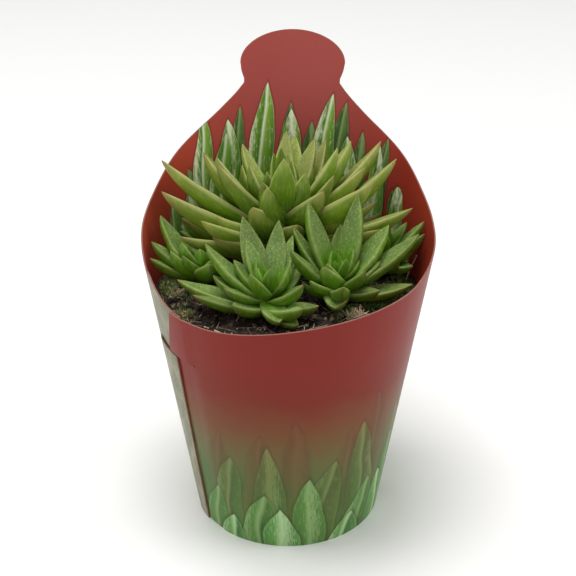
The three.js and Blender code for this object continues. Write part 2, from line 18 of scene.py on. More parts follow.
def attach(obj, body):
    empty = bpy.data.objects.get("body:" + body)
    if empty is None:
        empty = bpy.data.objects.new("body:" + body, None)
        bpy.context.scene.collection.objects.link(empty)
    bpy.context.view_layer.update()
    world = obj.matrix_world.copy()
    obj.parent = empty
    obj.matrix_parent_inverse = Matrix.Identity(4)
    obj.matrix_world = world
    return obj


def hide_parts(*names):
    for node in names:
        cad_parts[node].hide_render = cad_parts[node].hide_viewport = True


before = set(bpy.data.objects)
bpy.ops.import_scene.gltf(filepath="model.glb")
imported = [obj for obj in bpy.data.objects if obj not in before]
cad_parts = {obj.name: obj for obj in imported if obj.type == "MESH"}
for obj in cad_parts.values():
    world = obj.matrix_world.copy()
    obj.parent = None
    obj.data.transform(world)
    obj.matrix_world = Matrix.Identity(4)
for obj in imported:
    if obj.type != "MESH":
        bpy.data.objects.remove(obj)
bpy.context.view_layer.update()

bl_info = {
    "name": "Potted haworthia",
    "version": (1, 0, 0),
    "blender": (4, 5, 0),
    "location": "View3D > Sidebar > Haworthia",
    "description": "Dresses a packed haworthia in its pot and card sleeve",
    "category": "Object",
}

MM = 0.001
BODY = "root"

# --- The card sleeve's sizes ---

SLEEVE_BASE_R = 31
SLEEVE_FLARE = 0.16
CARD_T = 0.5
RIM_HEIGHTS = [
    (0, 91), (54, 91), (75, 95.5), (90, 99.5), (112, 106), (130, 114.5), (149, 123), (162, 131.5),
]
RIM_SKEW = 3.5  # the sheet is rolled askew: higher at the right front
RIM_SKEW_END = 95
PANEL_LEAN = 1.8  # degrees that the tall panel is twisted to the right
LEAN_FROM_Z = 95
LEAN_FULL_Z = 140
NECK_AZIMUTH = 162
NECK_FILLET = 1.0  # the card fills the corner under the neck by this much
NECK_FILLET_FROM = 157
NECK_HALF = 16.3
TAB_OUTLINE = [(133.3, 16.2), (136.4, 17.4), (139.5, 17.9)]  # height, half width
TAB_RISE = 10  # from the tab's widest place to its top
TAB_TOP_TURN = 74  # the oval's turn at its last level row
SLIT_Z = 70
SLIT_HALF = 0.3
FLAP_OFFSET = 0.35
FLAP_RAMP = 3
FRONT_SLIT_ROOT = -43
FRONT_UPPER_EDGE = (-61, -53.5)  # at the slit, at the rim
FRONT_LOWER_EDGE = -70
SIDE_SLIT_ROOT = -76
SIDE_UPPER_EDGE = -48
SIDE_LOWER_EDGE = (-59.5, -55.5)  # at the foot, at the slit
COLUMN_STEP = 2.5  # degrees between the sheet's columns
FLAP_COLUMNS = 8
LOWER_ROWS = 24
UPPER_ROWS = 18
TAB_COLUMNS = 28
TAB_NECK_ROWS = 5
TAB_OVAL_ROWS = 12
CREASE_ANGLE = 35  # sharper edges than this stay sharp

# --- The soil's and the pot's sizes ---

GAP = 0.3
SOIL_Z = 80
SOIL_EDGE_R = 42.1
MOUND = (-40, -2)  # the mossy clump at the left
MOUND_HEIGHT = 5
MOUND_SPREAD = 6.5
SWELL = (0.9, 0.21, 1.1, 0.17, -0.6)  # height, turn per mm and start across X, then Y
RIPPLE = (0.5, 0.47, -0.9, 0.43, 0.4)
LUMP_SIZE, LUMP_HEIGHT = 4, 1.1
GRAIN_SIZE, GRAIN_HEIGHT = 1.5, 0.55
SOIL_EDGE_DROP = 0.5  # the heap's shoulder lies this far below its surface
POT_H = 76
POT_FLOOR = 1.2
POT_BASE_INSIDE = 27.2
POT_NECK_INSIDE = 38.1
POT_MOUTH_R = 39.9
POT_LIP_H = 8.4
SOIL_CELL = 0.75  # the soil's surface is this finely cut

# --- The leaves' sizes ---

# Share of the leaf's length, of its greatest width and of its greatest thickness.
LEAF_RINGS = [
    (0, 0.64, 0.8), (0.07, 0.74, 0.86), (0.14, 0.83, 0.91), (0.22, 0.92, 0.96),
    (0.31, 0.98, 0.99), (0.4, 1, 1), (0.49, 0.99, 0.99), (0.57, 0.94, 0.96),
    (0.65, 0.85, 0.9), (0.72, 0.74, 0.81), (0.79, 0.61, 0.7), (0.85, 0.47, 0.57),
    (0.9, 0.34, 0.43), (0.94, 0.22, 0.3), (0.97, 0.12, 0.18), (0.99, 0.05, 0.08),
]
LEAF_SIDES = 24
LEAF_THICKNESS = 0.45  # greatest thickness, as a share of the width
LEAF_CURL = 14  # degrees that a leaf bends up from root to tip
LEAF_PLUMPNESS = 1.2  # rounder than the solids' faceted leaves
LEAF_CROWN = 0.16  # how far the rolled margins rise, as a share of the thickness
LEAF_CHANNEL = 0.24  # and how far the middle of the upper face sinks again
KEEL_POWER = 1.7  # under 2 draws the underside out to a keel
LEAF_BOW = 0.05  # how far a tip may bend sideways, as a share of the length
LEAF_TWIST = 9  # degrees that it may turn about its midline
DENT_DEPTH, DENT_WIDTH, DENT_LENGTH = 0.2, 3.2, 6
STEM_FOOT_Z = 71
STEM_SIDES = 16
STEM_TAPER = 0.6
GOLDEN_ANGLE = 137.5

Rosette = namedtuple("Rosette", "name x y stem heart roll scale leaves grown")
Growth = namedtuple("Growth", "count length rise width root")
Leaf = namedtuple("Leaf", "rosette azimuth rise length width root")

# Each rosette's place, stem radius, heart height, roll, and its heart's size against a young
# one's. The leaves at its sides are rolled by up to its roll, so that their upper faces look
# back. Its listed leaves follow: azimuth and rise in degrees, length and greatest width,
# and the height of the root on the stem. The rest grow by rule, from low to high.
ROSETTES = [
    Rosette("rosette_main", -2, 15, 3.2, 103, 24, 1.6, [
        (-97, 31, 46, 10, 94), (-88, 25, 43, 11, 91), (-113, 39, 36, 10, 95),
        (-103, 46, 31, 11, 96), (-80, 48, 30, 8, 97), (-132, 54, 29, 8, 97),
        (-98, 60, 21, 8, 99), (-60, 70, 17, 6, 101), (-150, 76, 19, 5, 102),
        (172, 82, 20, 6, 103), (179, 43, 33, 8, 97), (168, 43, 34, 10, 95),
        (152, 47, 31, 8, 97), (150, 38, 36, 9, 94), (122, 43, 36, 10, 96),
        (105, 52, 30, 9, 98), (115, 36, 45, 10, 93), (94, 37, 34, 9, 96),
        (103, 33, 46, 10, 91), (68, 35, 39, 11, 95), (48, 43, 26, 10, 97),
        (1, 66, 29, 9, 99), (-40, 42, 20, 12, 95), (20, 35, 18, 10, 93),
        (63, 34, 27, 9, 91), (87, 19, 45, 10, 89), (-64, 27, 27, 10, 92.5),
        (-72, 14, 36, 9, 89), (-54, 21, 28, 9, 89.5), (-84, 46, 25, 8, 96),
    ], Growth(26, (38, 16), (8, 66), 10, (87, 100))),
    Rosette("rosette_front_left", -6, -15, 2.4, 89, 0, 1, [
        (-152, 52, 27, 8.5, 86), (-98, 42, 27, 7.5, 85), (-95, 12, 30, 8, 84),
        (-76, 15, 25, 6.5, 83.2), (-50, 17, 15, 8, 84), (-70, 23, 16, 6, 86),
        (166, 52, 25, 7.5, 86), (148, 50, 22, 6, 85), (-130, 60, 18, 6.5, 88),
        (-100, 42, 15, 6.5, 88), (-90, 66, 8, 4.5, 89), (127, 35, 18, 5.5, 83.5),
        (72, 11, 17, 7, 83), (14, -4, 15, 8, 86.5), (30, 6, 18, 6, 83),
    ], Growth(9, (22, 9), (14, 74), 7, (83, 89))),
    Rosette("rosette_front_right", 16, -7, 2.4, 90, 0, 1, [
        (-128, 67, 29, 8, 86), (137, 73, 30, 8, 86), (176, 56, 18, 6.5, 88),
        (132, 52, 12, 5.5, 89), (115, 47, 25, 8.5, 86), (99, 34, 31, 7.5, 85),
        (92, 34, 16, 6, 85.5), (84, 9, 24, 7, 83.5), (64, 13, 15, 7, 84.5),
        (-7, -6, 15, 8.5, 87.5), (-72, 45, 23, 7, 85.5), (-114, 50, 25, 6, 85),
        (-72, 28, 14, 6, 83), (-30, 47, 12, 8, 87.5), (96, 44, 9, 5, 88.5),
    ], Growth(8, (20, 9), (14, 74), 7, (83, 89))),
    Rosette("rosette_left", -28, 3, 2.2, 88, 0, 1, [
        (-110, 52, 23, 7.5, 85), (-84, 38, 20, 7, 85), (-70, 30, 20, 6, 84),
        (-98, 44, 15, 8, 87), (-60, 58, 13, 7, 87), (22, 40, 13, 8.5, 85),
    ], Growth(10, (18, 8), (16, 74), 6.5, (83, 88))),
    Rosette("rosette_right", 30, 14, 2.2, 88, 0, 1, [
        (76, 46, 21, 6.5, 85), (58, 40, 22, 6.5, 84.5), (44, 15, 16, 6, 83.5),
    ], Growth(12, (20, 8), (16, 74), 6.5, (83, 88))),
    Rosette("rosette_back_left", -24, 26, 2, 87, 0, 1, [],
            Growth(14, (17, 8), (22, 76), 6, (83, 87))),
    Rosette("rosette_back_right", 20, 30, 2, 87, 0, 1, [],
            Growth(14, (17, 8), (24, 76), 6, (83, 87))),
]
TRY_TURNS = [0, 14, -14, 28, -28, 42, -42]
TRY_RISES = [0, 10, -8, 20]
STEEPEST_RISE = 84
CLEAR_OF_OTHERS = 0.7  # kept free between leaves of two rosettes
CLEAR_OF_OWN = -2.2  # leaves of one rosette may touch near their roots
FREE_ROOT = 0.45  # the share of a leaf that its own rosette may cross
SAMPLES_ALONG = 12
MIDDLE_BEAD = 18  # of a leaf's three rows of beads
TAPER_FROM = 0.5  # share of its length where a leaf starts to narrow
TIP_NARROWING = 1.1  # how fast it narrows there, for telling leaves apart
THINNING_LAG = 0.3  # it thins this much later than it narrows
TURN_SPREAD = 5  # how far a grown leaf may differ from its rule: degrees, each way
RISE_SPREAD = 3  # degrees
LENGTH_SPREAD = 0.08  # as a share of the length
WIDTH_SPREAD = 0.1  # as a share of the width
HEART_WIDTH = 0.75  # width of the innermost leaf, as a share of the first
GROWTH_SEED = 11
DRAW_STEP, DRAW_RANGE = 16807, 2**31 - 1  # the solids' own way of drawing numbers
HEART_LEAVES = 5  # small upright ones that fill each heart
HEART_TURN = 40
HEART_RISES, HEART_LENGTHS, HEART_WIDTHS = (68, 84), (9, 5.5), (3.6, 2.4)  # first, last
HEART_SINK = 1.5
HEART_REACH = 13  # how far from a young rosette's heart its deep green goes
HEART_STRETCH = (1, 1, 0.6)  # it reaches further down than sideways
YOUNGEST_RISE = 78  # a leaf that rises this steeply is new
RIPENING_TURN = 55  # and one that lies this many degrees lower is old
LEAST_RIPE = 0.4  # how far an old leaf may lag behind in its colour


# --- Small helpers ---


def lerp(a, b, t):
    return (1 - t) * a + t * b


def linear(value):
    """Linear RGBA of an sRGB hex colour. Anything else comes back as it is."""
    if not isinstance(value, str):
        return value
    shares = [int(value[k : k + 2], 16) / 255 for k in (1, 3, 5)]
    return [s / 12.92 if s <= 0.04045 else ((s + 0.055) / 1.055) ** 2.4 for s in shares] + [1.0]


def polar(azimuth, radius, z):
    """Points in mm at azimuths in degrees, distances from the axis and heights."""
    a = np.radians(azimuth)
    return np.stack(np.broadcast_arrays(radius * np.sin(a), -radius * np.cos(a), z * 1.0), axis=-1)


def mode(name):
    bpy.ops.object.mode_set(mode=name)


def deselect():
    bpy.ops.object.select_all(action="DESELECT")


def points_of(mesh):
    flat = np.empty(len(mesh.vertices) * 3)
    mesh.vertices.foreach_get("co", flat)
    return flat.reshape(-1, 3)


def set_points(mesh, points):
    """Moves a mesh's vertices to points in mm."""
    mesh.vertices.foreach_set("co", (np.asarray(points) * MM).ravel())
    mesh.update()


def paint(mesh, name, rgb):
    """Gives a mesh a colour attribute, with a row for each vertex or one for all."""
    layer = mesh.attributes.get(name) or mesh.attributes.new(name, "FLOAT_COLOR", "POINT")
    rgba = np.ones((len(mesh.vertices), 4), np.float32)
    rgba[:, :3] = rgb
    layer.data.foreach_set("color", rgba.ravel())


def lay_uv(mesh, name, uv):
    """Gives a mesh a UV map from a pair of numbers for each vertex."""
    layer = mesh.uv_layers.get(name) or mesh.uv_layers.new(name=name)
    corners = np.empty(len(mesh.loops), np.int32)
    mesh.loops.foreach_get("vertex_index", corners)
    layer.data.foreach_set("uv", np.asarray(uv, np.float32)[corners].ravel())


def choose(piece, kind, chosen):
    """Selects just these vertices or faces of a piece and leaves it in edit mode."""
    mode("EDIT")
    bpy.ops.mesh.select_mode(type=kind)
    bpy.ops.mesh.select_all(action="DESELECT")
    mode("OBJECT")
    parts = piece.data.vertices if kind == "VERT" else piece.data.polygons
    parts.foreach_set("select", np.asarray(chosen, bool))
    mode("EDIT")


def join(name, pieces):
    """Joins pieces into one and names it."""
    deselect()
    for piece in pieces:
        piece.select_set(True)
    bpy.context.view_layer.objects.active = pieces[0]
    if len(pieces) > 1:
        bpy.ops.object.join()
    joined = bpy.context.view_layer.objects.active
    joined.name = joined.data.name = name
    return joined


def copy_of(template):
    """A copy of a template, with a mesh of its own."""
    copy = template.copy()
    copy.data = template.data.copy()
    bpy.context.scene.collection.objects.link(copy)
    return copy


def dress(piece, *materials):
    piece.data.materials.clear()
    for material in materials:
        piece.data.materials.append(material)


def settle(piece, slot, *nodes):
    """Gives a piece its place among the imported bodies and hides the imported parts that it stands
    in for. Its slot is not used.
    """
    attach(piece, BODY)
    if nodes:
        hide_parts(*nodes)


def feed(node, *values, **named):
    """Fills a node's inputs, in their order or by name, with an underscore for a space.

    Each gets a value, a hex colour, a socket or the node that feeds it.
    """
    pairs = list(zip((socket for socket in node.inputs if socket.enabled), values))
    pairs += [(node.inputs[name.replace("_", " ")], value) for name, value in named.items()]
    for socket, value in pairs:
        if isinstance(value, bpy.types.Node):
            value = next(s for s in value.outputs if s.enabled)
        if isinstance(value, bpy.types.NodeSocket):
            node.id_data.links.new(value, socket)
        else:
            socket.default_value = linear(value)


def add_node(tree, kind, *values, stops=(), **named):
    """Adds a shader node and fills it. Names in lower case are settings, others are inputs.

    A MapRange takes its value, from least, from most, to least and to most in this order.
    """
    new = tree.nodes.new("ShaderNode" + kind)
    for name in filter(str.islower, list(named)):
        setattr(new, name, named.pop(name))
    feed(new, *values, **named)
    for k, (place, colour) in enumerate(stops):
        elements = new.color_ramp.elements
        element = elements[k] if k < len(elements) else elements.new(1)
        element.position = place
        element.color = linear(colour)
    return new


def start_material(name):
    """A new material, the function that adds its nodes, and its Principled shader."""
    material = bpy.data.materials.new(name)
    material.use_nodes = True
    tree = material.node_tree
    return material, partial(add_node, tree), tree.nodes["Principled BSDF"]


# --- What a user would change ---


def swatch(name, description, code):
    """A colour that a user can change."""
    return bpy.props.FloatVectorProperty(
        name=name, description=description, subtype="COLOR", size=4, default=linear(code),
    )


class HaworthiaSleeveSettings(bpy.types.PropertyGroup):
    card: bpy.props.FloatProperty(
        name="Card", description="Thickness of the card", default=CARD_T * MM, unit="LENGTH",
    )
    red: swatch("Red", "Print on the upper part", "#80241b")
    brown: swatch("Brown", "Print half way down", "#724628")
    green: swatch("Green", "Print at the foot", "#4c6c36")
    pale: swatch("Pale end", "Print near the sheet's side end", "#807e66")
    # Partly the inside's red print and partly painted sheen: made paler and pinker as the glare on
    # the tab and the panel.
    inside: swatch("Inside", "Print on the inside", "#a54b44")
    core: swatch("Core", "Bare board at the cut edges", "#8e6054")


class HaworthiaLeafSettings(bpy.types.PropertyGroup):
    old_upper: swatch("Old upper face", "Main rosette from above", "#8c9c46")
    old_lower: swatch("Old underside", "Main rosette from below", "#6c920e")
    young_upper: swatch("Young upper face", "Small rosettes from above", "#6b8a3f")
    young_lower: swatch("Young underside", "Small rosettes from below", "#588c0a")
    heart: swatch("Heart", "Upper faces round the heart", "#629c0e")
    # Also the colour of the painted shade on the undersides near each heart.
    base: swatch("Leaf base", "Deep green of the undersides near the root", "#3e6406")
    margin: swatch("Margin", "Thin line along the edges", "#c0b684")
    tip: swatch("Tip", "Dry brown point", "#8c6a48")
    seed: bpy.props.IntProperty(name="Seed", description="Draws each leaf's own bends", default=5)


class HaworthiaSoilSettings(bpy.types.PropertyGroup):
    crumbs: bpy.props.IntProperty(name="Crumbs", description="Lumps of peat", default=1900)
    fibres: bpy.props.IntProperty(name="Fibres", description="Short dry roots", default=340)
    sprigs: bpy.props.IntProperty(name="Moss sprigs", description="In all clumps", default=1700)
    grit: bpy.props.IntProperty(name="Grit", description="Pale grains", default=120)
    peat: swatch("Peat", "Damp peat", "#241a13")
    moss: swatch("Moss", "Living moss", "#6c9040")
    straw: swatch("Straw", "Dry stalks and moss stars", "#dcc6a8")
    seed: bpy.props.IntProperty(name="Seed", description="Strews what lies on the soil", default=3)


class HaworthiaStageSettings(bpy.types.PropertyGroup):
    camera_distance: bpy.props.FloatProperty(
        name="Camera distance", description="From the point looked at", default=0.48,
        unit="LENGTH",
    )
    camera_elevation: bpy.props.FloatProperty(
        name="Camera elevation", description="Above the horizon", default=math.radians(29.13),
        subtype="ANGLE",
    )
    looks_at: bpy.props.FloatProperty(
        name="Looks at", description="Height of the point looked at", default=0.081,
        unit="LENGTH",
    )
    lens: bpy.props.FloatProperty(name="Lens", description="Focal length, mm", default=92.5)
    floor: swatch("Floor", "Plain pale floor", "#f4f4f2")


# --- Card sleeve ---


def sleeve_radius(z):
    return SLEEVE_BASE_R + SLEEVE_FLARE * z


def smooth_through(pairs, x):
    """Smooth curve through pairs, level at the first one."""
    last = len(pairs) - 1
    at = min(max(sum(px <= x for px, _ in pairs) - 1, 0), last - 1)

    def slope(k):
        if k == 0:
            return 0
        before, after = pairs[k - 1], pairs[min(k + 1, last)]
        return (after[1] - before[1]) / (after[0] - before[0])

    (x0, y0), (x1, y1) = pairs[at], pairs[at + 1]
    span = x1 - x0
    t = (x - x0) / span
    level = (2 * t**3 - 3 * t**2 + 1) * y0 + (3 * t**2 - 2 * t**3) * y1
    return level + span * ((t**3 - 2 * t**2 + t) * slope(at) + (t**3 - t**2) * slope(at + 1))


def rim_height(azimuth):
    """Height of the card's upper edge, in mm."""
    azimuth = (azimuth + 180) % 360 - 180
    turn = min(abs(azimuth), NECK_AZIMUTH)
    fade = max(0, math.sin(math.pi * turn / RIM_SKEW_END))
    fillet = max(0, (turn - NECK_FILLET_FROM) / (NECK_AZIMUTH - NECK_FILLET_FROM)) ** 2
    skew = math.copysign(RIM_SKEW, azimuth) * fade
    return smooth_through(RIM_HEIGHTS, turn) + skew + NECK_FILLET * fillet


def panel_lean(z):
    """Degrees that the card is twisted to the right at a height."""
    return PANEL_LEAN * np.clip((z - LEAN_FROM_Z) / (LEAN_FULL_Z - LEAN_FROM_Z), 0, 1)


def front_flap(t):
    """A column of the front end's flaps: upper one outside, lower one inside."""
    flat = FRONT_SLIT_ROOT - FLAP_RAMP

    def place(z):
        if z < SLIT_Z:
            return lerp(FRONT_LOWER_EDGE, flat, t), -FLAP_OFFSET
        rise = (z - SLIT_Z) / (rim_height(FRONT_UPPER_EDGE[1]) - SLIT_Z)
        return lerp(lerp(*FRONT_UPPER_EDGE, rise), flat, t), FLAP_OFFSET

    return place


def side_flap(t):
    """A column of the side end's flaps: upper one inside, lower one outside."""
    flat = SIDE_SLIT_ROOT + FLAP_RAMP

    def place(z):
        if z > SLIT_Z:
            return 360 + lerp(flat, SIDE_UPPER_EDGE, t), -FLAP_OFFSET
        return 360 + lerp(flat, lerp(*SIDE_LOWER_EDGE, z / SLIT_Z), t), FLAP_OFFSET

    return place


def sheet_columns():
    """Every column of the sheet from its front end round to its side end, with its kind."""
    behind_neck = 360 - NECK_AZIMUTH
    side_end = 360 + SIDE_SLIT_ROOT
    side_count = round((NECK_AZIMUTH - FRONT_SLIT_ROOT) / COLUMN_STEP)
    back_count = round((side_end - behind_neck) / COLUMN_STEP)
    runs = [
        ("plain", np.linspace(FRONT_SLIT_ROOT, NECK_AZIMUTH, side_count)),
        ("tab", np.linspace(NECK_AZIMUTH, behind_neck, TAB_COLUMNS + 1)[1:-1]),
        ("plain", np.linspace(behind_neck, side_end, back_count)),
    ]
    steps = [k / FLAP_COLUMNS for k in range(FLAP_COLUMNS + 1)]
    columns = [(front_flap(t), "flap") for t in steps]
    for kind, azimuths in runs:
        columns += [(lambda z, a=a: (a, 0), kind) for a in azimuths]
    return columns + [(side_flap(t), "flap") for t in steps]


def column_rows(place, kind):
    """Azimuth, offset and height of each vertex of a column, from foot to rim."""
    top = rim_height(NECK_AZIMUTH if kind == "tab" else place(RIM_HEIGHTS[0][1])[0])
    lower = np.linspace(0, SLIT_Z - SLIT_HALF, LOWER_ROWS + 1)
    upper = np.linspace(SLIT_Z + SLIT_HALF, top, UPPER_ROWS + 1)
    return [(*place(z), z) for z in (*lower, *upper)]


def tab_rows():
    """Rows of the neck and the tab: place across and height of each vertex."""
    across = np.linspace(-1, 1, TAB_COLUMNS + 1)
    levels, halves = zip((rim_height(NECK_AZIMUTH), NECK_HALF), *TAB_OUTLINE)
    middle, half = levels[-1], halves[-1]
    rows = []
    for z in np.linspace(levels[0], middle, TAB_NECK_ROWS + 1)[1:]:
        rows.append((across * np.interp(z, levels, halves), np.full_like(across, z)))
    for turn in np.linspace(0, math.radians(TAB_TOP_TURN), TAB_OVAL_ROWS)[1:]:
        z = middle + TAB_RISE * math.sin(turn)
        rows.append((across * half * math.cos(turn), np.full_like(across, z)))
    x = rows[-1][0]
    rows.append((x, middle + TAB_RISE * np.sqrt(1 - (x / half) ** 2)))
    return rows


def card_grid(rows):
    """A sheet from rows of (azimuth, offset, height); its UV map holds azimuth and height."""
    deselect()
    bpy.ops.mesh.primitive_grid_add(
        x_subdivisions=len(rows[0]) - 1, y_subdivisions=len(rows) - 1, size=1,
    )
    sheet = bpy.context.object
    azimuth, offset, z = np.array(rows, float).reshape(-1, 3).T
    set_points(sheet.data, polar(azimuth - panel_lean(z), sleeve_radius(z) + offset, z))
    lay_uv(sheet.data, "card_place", np.stack([azimuth, z], axis=1))
    return sheet


def cut_slit(sheet, columns):
    """Removes the row of cells that the slit takes from the flaps."""
    flap = np.array([kind == "flap" for _, kind in columns])
    row, column = np.divmod(np.arange(len(sheet.data.polygons)), len(columns) - 1)
    choose(sheet, "FACE", (row == LOWER_ROWS) & (flap[1:] | flap[:-1])[column])
    bpy.ops.mesh.delete(type="FACE")
    mode("OBJECT")


def model_sheet():
    """The sheet's outer face, slit at both ends, with its tab."""
    columns = sheet_columns()
    by_column = [column_rows(*column) for column in columns]
    sheet = card_grid([list(row) for row in zip(*by_column)])
    cut_slit(sheet, columns)

    first = [kind for _, kind in columns].index("tab") - 1
    edge = [by_column[c][-1] for c in range(first, first + TAB_COLUMNS + 1)]
    above = [
        [(180 + math.degrees(x / sleeve_radius(z)), 0, z) for x, z in zip(xs, zs)]
        for xs, zs in tab_rows()
    ]
    sleeve = join("card_sleeve_printed", [sheet, card_grid([edge, *above])])
    mode("EDIT")
    bpy.ops.mesh.select_all(action="SELECT")
    bpy.ops.mesh.remove_doubles(threshold=1e-6)
    mode("OBJECT")
    return sleeve


def thicken(sheet, card):
    """Gives the sheet its thickness, inwards: its print inside and its cut edge follow."""
    bpy.ops.object.modifier_add(type="SOLIDIFY")
    wall = sheet.modifiers[-1]
    wall.thickness = card
    wall.offset = -1
    wall.material_offset = 1
    wall.material_offset_rim = 2
    bpy.ops.object.modifier_apply(modifier=wall.name)
    bpy.ops.object.shade_smooth_by_angle(angle=math.radians(CREASE_ANGLE))


BladeRow = namedtuple("BladeRow", "pitch turn foot low high droop shade body light cover")

# Rows of plain upright blades in the print, the furthest first: degrees from blade to blade,
# turn, height of the feet, of the lowest and of the highest tips, how much lower the tips
# are 45 degrees from the middle, three colours, and how much of the ground they cover.
FRONT_BLADES = [
    BladeRow(23, 0.3, 0, 46, 62, 0, "#5c3420", "#6e4628", "#845c3a", 0.3),
    BladeRow(27, 0.85, -6, 34, 52, 0, "#486030", "#5e7638", "#8c9c5c", 0.5),
    BladeRow(31, 0.1, -14, 20, 38, 0, "#44702e", "#588a40", "#8eb070", 0.75),
    BladeRow(36, 0.6, -24, 8, 24, 0, "#3f6e34", "#5f9446", "#a8c690", 1.0),
]
PANEL_BLADES = [
    BladeRow(10.5, 0.2, 86, 112, 128, 9, "#3a5a2c", "#587c3c", "#8aa466", 0.95),
    BladeRow(13, 0.7, 88, 114, 133, 12, "#4f7f1c", "#80a83c", "#e6eec8", 1.0),
    BladeRow(14, 0.45, 80, 100, 118, 6, "#4a7a20", "#74a238", "#d4e2b2", 1.0),
]
BLADE_HALF = (0.34, 0.45)  # narrowest and widest, as shares of the way from blade to blade
BLADE_LEAN = 0.3
BLADE_POINT = 4  # how late a blade narrows to its point
BLADE_SWAY = 0.16  # how far a blade's sides wander, as a share of the way
BLADE_SWAY_LENGTH = 22  # mm from bend to bend
BLADE_MOTTLE = (1.3, 0.3, 1)  # patches of about 0.8 by 3.3 mm, or degrees by mm in the map
DROOP_AT = 45
DROOP_POWER = 4


def print_blades(add, uv, ground, row, middle):
    """Prints a row of plain upright pointed blades over a ground colour."""
    azimuth, height = add("SeparateXYZ", uv).outputs[:2]
    bends = add("TexNoise", uv, 1 / BLADE_SWAY_LENGTH, 1)
    sway = add("MapRange", bends, 0, 1, row.turn - BLADE_SWAY, row.turn + BLADE_SWAY)
    cell = add("Math", azimuth, 1 / row.pitch, sway, operation="MULTIPLY_ADD")
    index = add("Math", cell, operation="FLOOR")
    chances = add("TexWhiteNoise", index, noise_dimensions="1D")
    chance = chances.outputs["Value"]
    girth = add("SeparateColor", chances.outputs["Color"]).outputs["Green"]
    fraction = add("Math", cell, operation="FRACT")
    across = add("Math", fraction, 0.5, operation="SUBTRACT")

    # How far up its blade a point lies, from 0 at the foot to 1 at the tip.
    aside = add("Math", azimuth, 1 / DROOP_AT, -middle / DROOP_AT, operation="MULTIPLY_ADD")
    aside = add("Math", aside, operation="ABSOLUTE")
    steep = add("Math", aside, DROOP_POWER, operation="POWER")
    tallest = add("MapRange", chance, 0, 1, row.low - row.foot, row.high - row.foot)
    reach = add("Math", steep, -row.droop, tallest, operation="MULTIPLY_ADD")
    cover = add("MapRange", reach, 0, 4, 0, row.cover)
    reach = add("Math", reach, 1, operation="MAXIMUM")
    above = add("Math", height, row.foot, operation="SUBTRACT")
    climb = add("Math", above, reach, operation="DIVIDE")
    climb = add("Math", climb, 0, operation="MAXIMUM")

    # The blade leans to one side and narrows to its point.
    lean = add("MapRange", chance, 0, 1, -BLADE_LEAN, BLADE_LEAN)
    squared = add("Math", climb, 2, operation="POWER")
    bent = add("Math", squared, lean, across, operation="MULTIPLY_ADD")
    narrowed = add("Math", climb, BLADE_POINT, operation="POWER")
    left_over = add("Math", 1, narrowed, operation="SUBTRACT")
    widest = add("MapRange", girth, 0, 1, *BLADE_HALF)
    half = add("Math", left_over, widest, operation="MULTIPLY")
    off_rib = add("Math", bent, operation="ABSOLUTE")
    margin = add("Math", half, off_rib, operation="SUBTRACT")
    mask = add("MapRange", margin, 0, 0.02, 0, cover)

    # One side of the fold is lighter, with a glint that a fine mottle breaks up.
    side = add("MapRange", bent, -0.4, 0.4, 0, 1)
    face = add("ValToRGB", side, stops=[
        (0.05, row.shade), (0.4, row.body), (0.5, row.light), (0.58, row.shade), (0.95, row.body),
    ])
    stretched = add("VectorMath", uv, BLADE_MOTTLE, operation="MULTIPLY")
    mottle = add("TexNoise", stretched, 1, 5, 0.7)
    place = add("Math", side, chance, operation="SUBTRACT")
    near = add("Math", place, operation="ABSOLUTE")
    glint_band = add("MapRange", near, 0.26, 0, 0, 0.24)
    glossy = add("Math", mottle, glint_band, operation="ADD")
    glint = add("MapRange", glossy, 0.54, 0.74, 0, 0.9)
    body = add("Mix", glint, face, row.light, data_type="RGBA")
    rim = add("MapRange", margin, 0.045, 0.01, 0, 0.3)
    edged = add("Mix", rim, body, row.light, data_type="RGBA")

    # Each blade throws a soft shade on what lies behind it.
    shade = add("MapRange", margin, -0.07, 0, 0, cover)
    grey = (0.6, 0.6, 0.6, 1)
    shaded = add("Mix", shade, ground, grey, data_type="RGBA", blend_type="MULTIPLY")
    return add("Mix", mask, shaded, edged, data_type="RGBA")


def card_finish(add, shader, colour):
    """The varnish: a thin even gloss that follows the card's slight waves."""
    at = add("TexCoord").outputs["Object"]
    # Waves of about 18 mm in the board, and the coating's 0.4 mm orange peel.
    waves = add("TexNoise", at, 1 / (18 * MM))
    peel = add("TexNoise", at, 1 / (0.4 * MM))
    height = add("Math", peel, 0.03, waves, operation="MULTIPLY_ADD")
    feed(
        shader, Base_Color=colour, Roughness=0.42, Specular_IOR_Level=0.12, Coat_Weight=0.1,
        Coat_Roughness=0.24, Normal=add("Bump", Height=height, Distance=0.25 * MM),
    )


def outside_print(settings):
    """Varnished folding boxboard, offset printed: red that fades through brown to green."""
    material, add, shader = start_material("varnished_boxboard_outside")
    uv = add("UVMap", uv_map="card_place")
    azimuth, height = add("SeparateXYZ", uv).outputs[:2]
    blot = add("TexNoise", add("VectorMath", uv, (0.03, 0.05, 1), operation="MULTIPLY"), 1, 3)
    uneven = add("Math", blot, 14, height, operation="MULTIPLY_ADD")
    ground = add("ValToRGB", add("MapRange", uneven, 4, 104, 0, 1), stops=[
        (0.14, "#4f7e3e"), (0.27, settings.green), (0.4, "#645e36"), (0.53, settings.brown),
        (0.66, "#78281a"), (0.8, settings.red),
    ])
    for row in FRONT_BLADES:
        ground = print_blades(add, uv, ground, row, 0)
    # The sheet's side end is printed pale: a cloudy mottle with light flecks of 1 mm.
    stretched = add("VectorMath", uv, (0.16, 0.12, 1), operation="MULTIPLY")
    cloud = add("TexNoise", stretched, 1, 4, 0.5)
    pale = add("ValToRGB", cloud, stops=[(0.3, "#6e7258"), (0.5, settings.pale), (0.72, "#9a987e")])
    flecks = add("MapRange", add("TexNoise", uv, 0.9, 3, 0.6), 0.58, 0.72, 0, 0.5)
    pale = add("Mix", flecks, pale, "#c8c4a4", data_type="RGBA")
    near_end = add("MapRange", azimuth, 232, 256, 0, 1, interpolation_type="SMOOTHSTEP")
    card_finish(add, shader, add("Mix", near_end, ground, pale, data_type="RGBA"))
    return material


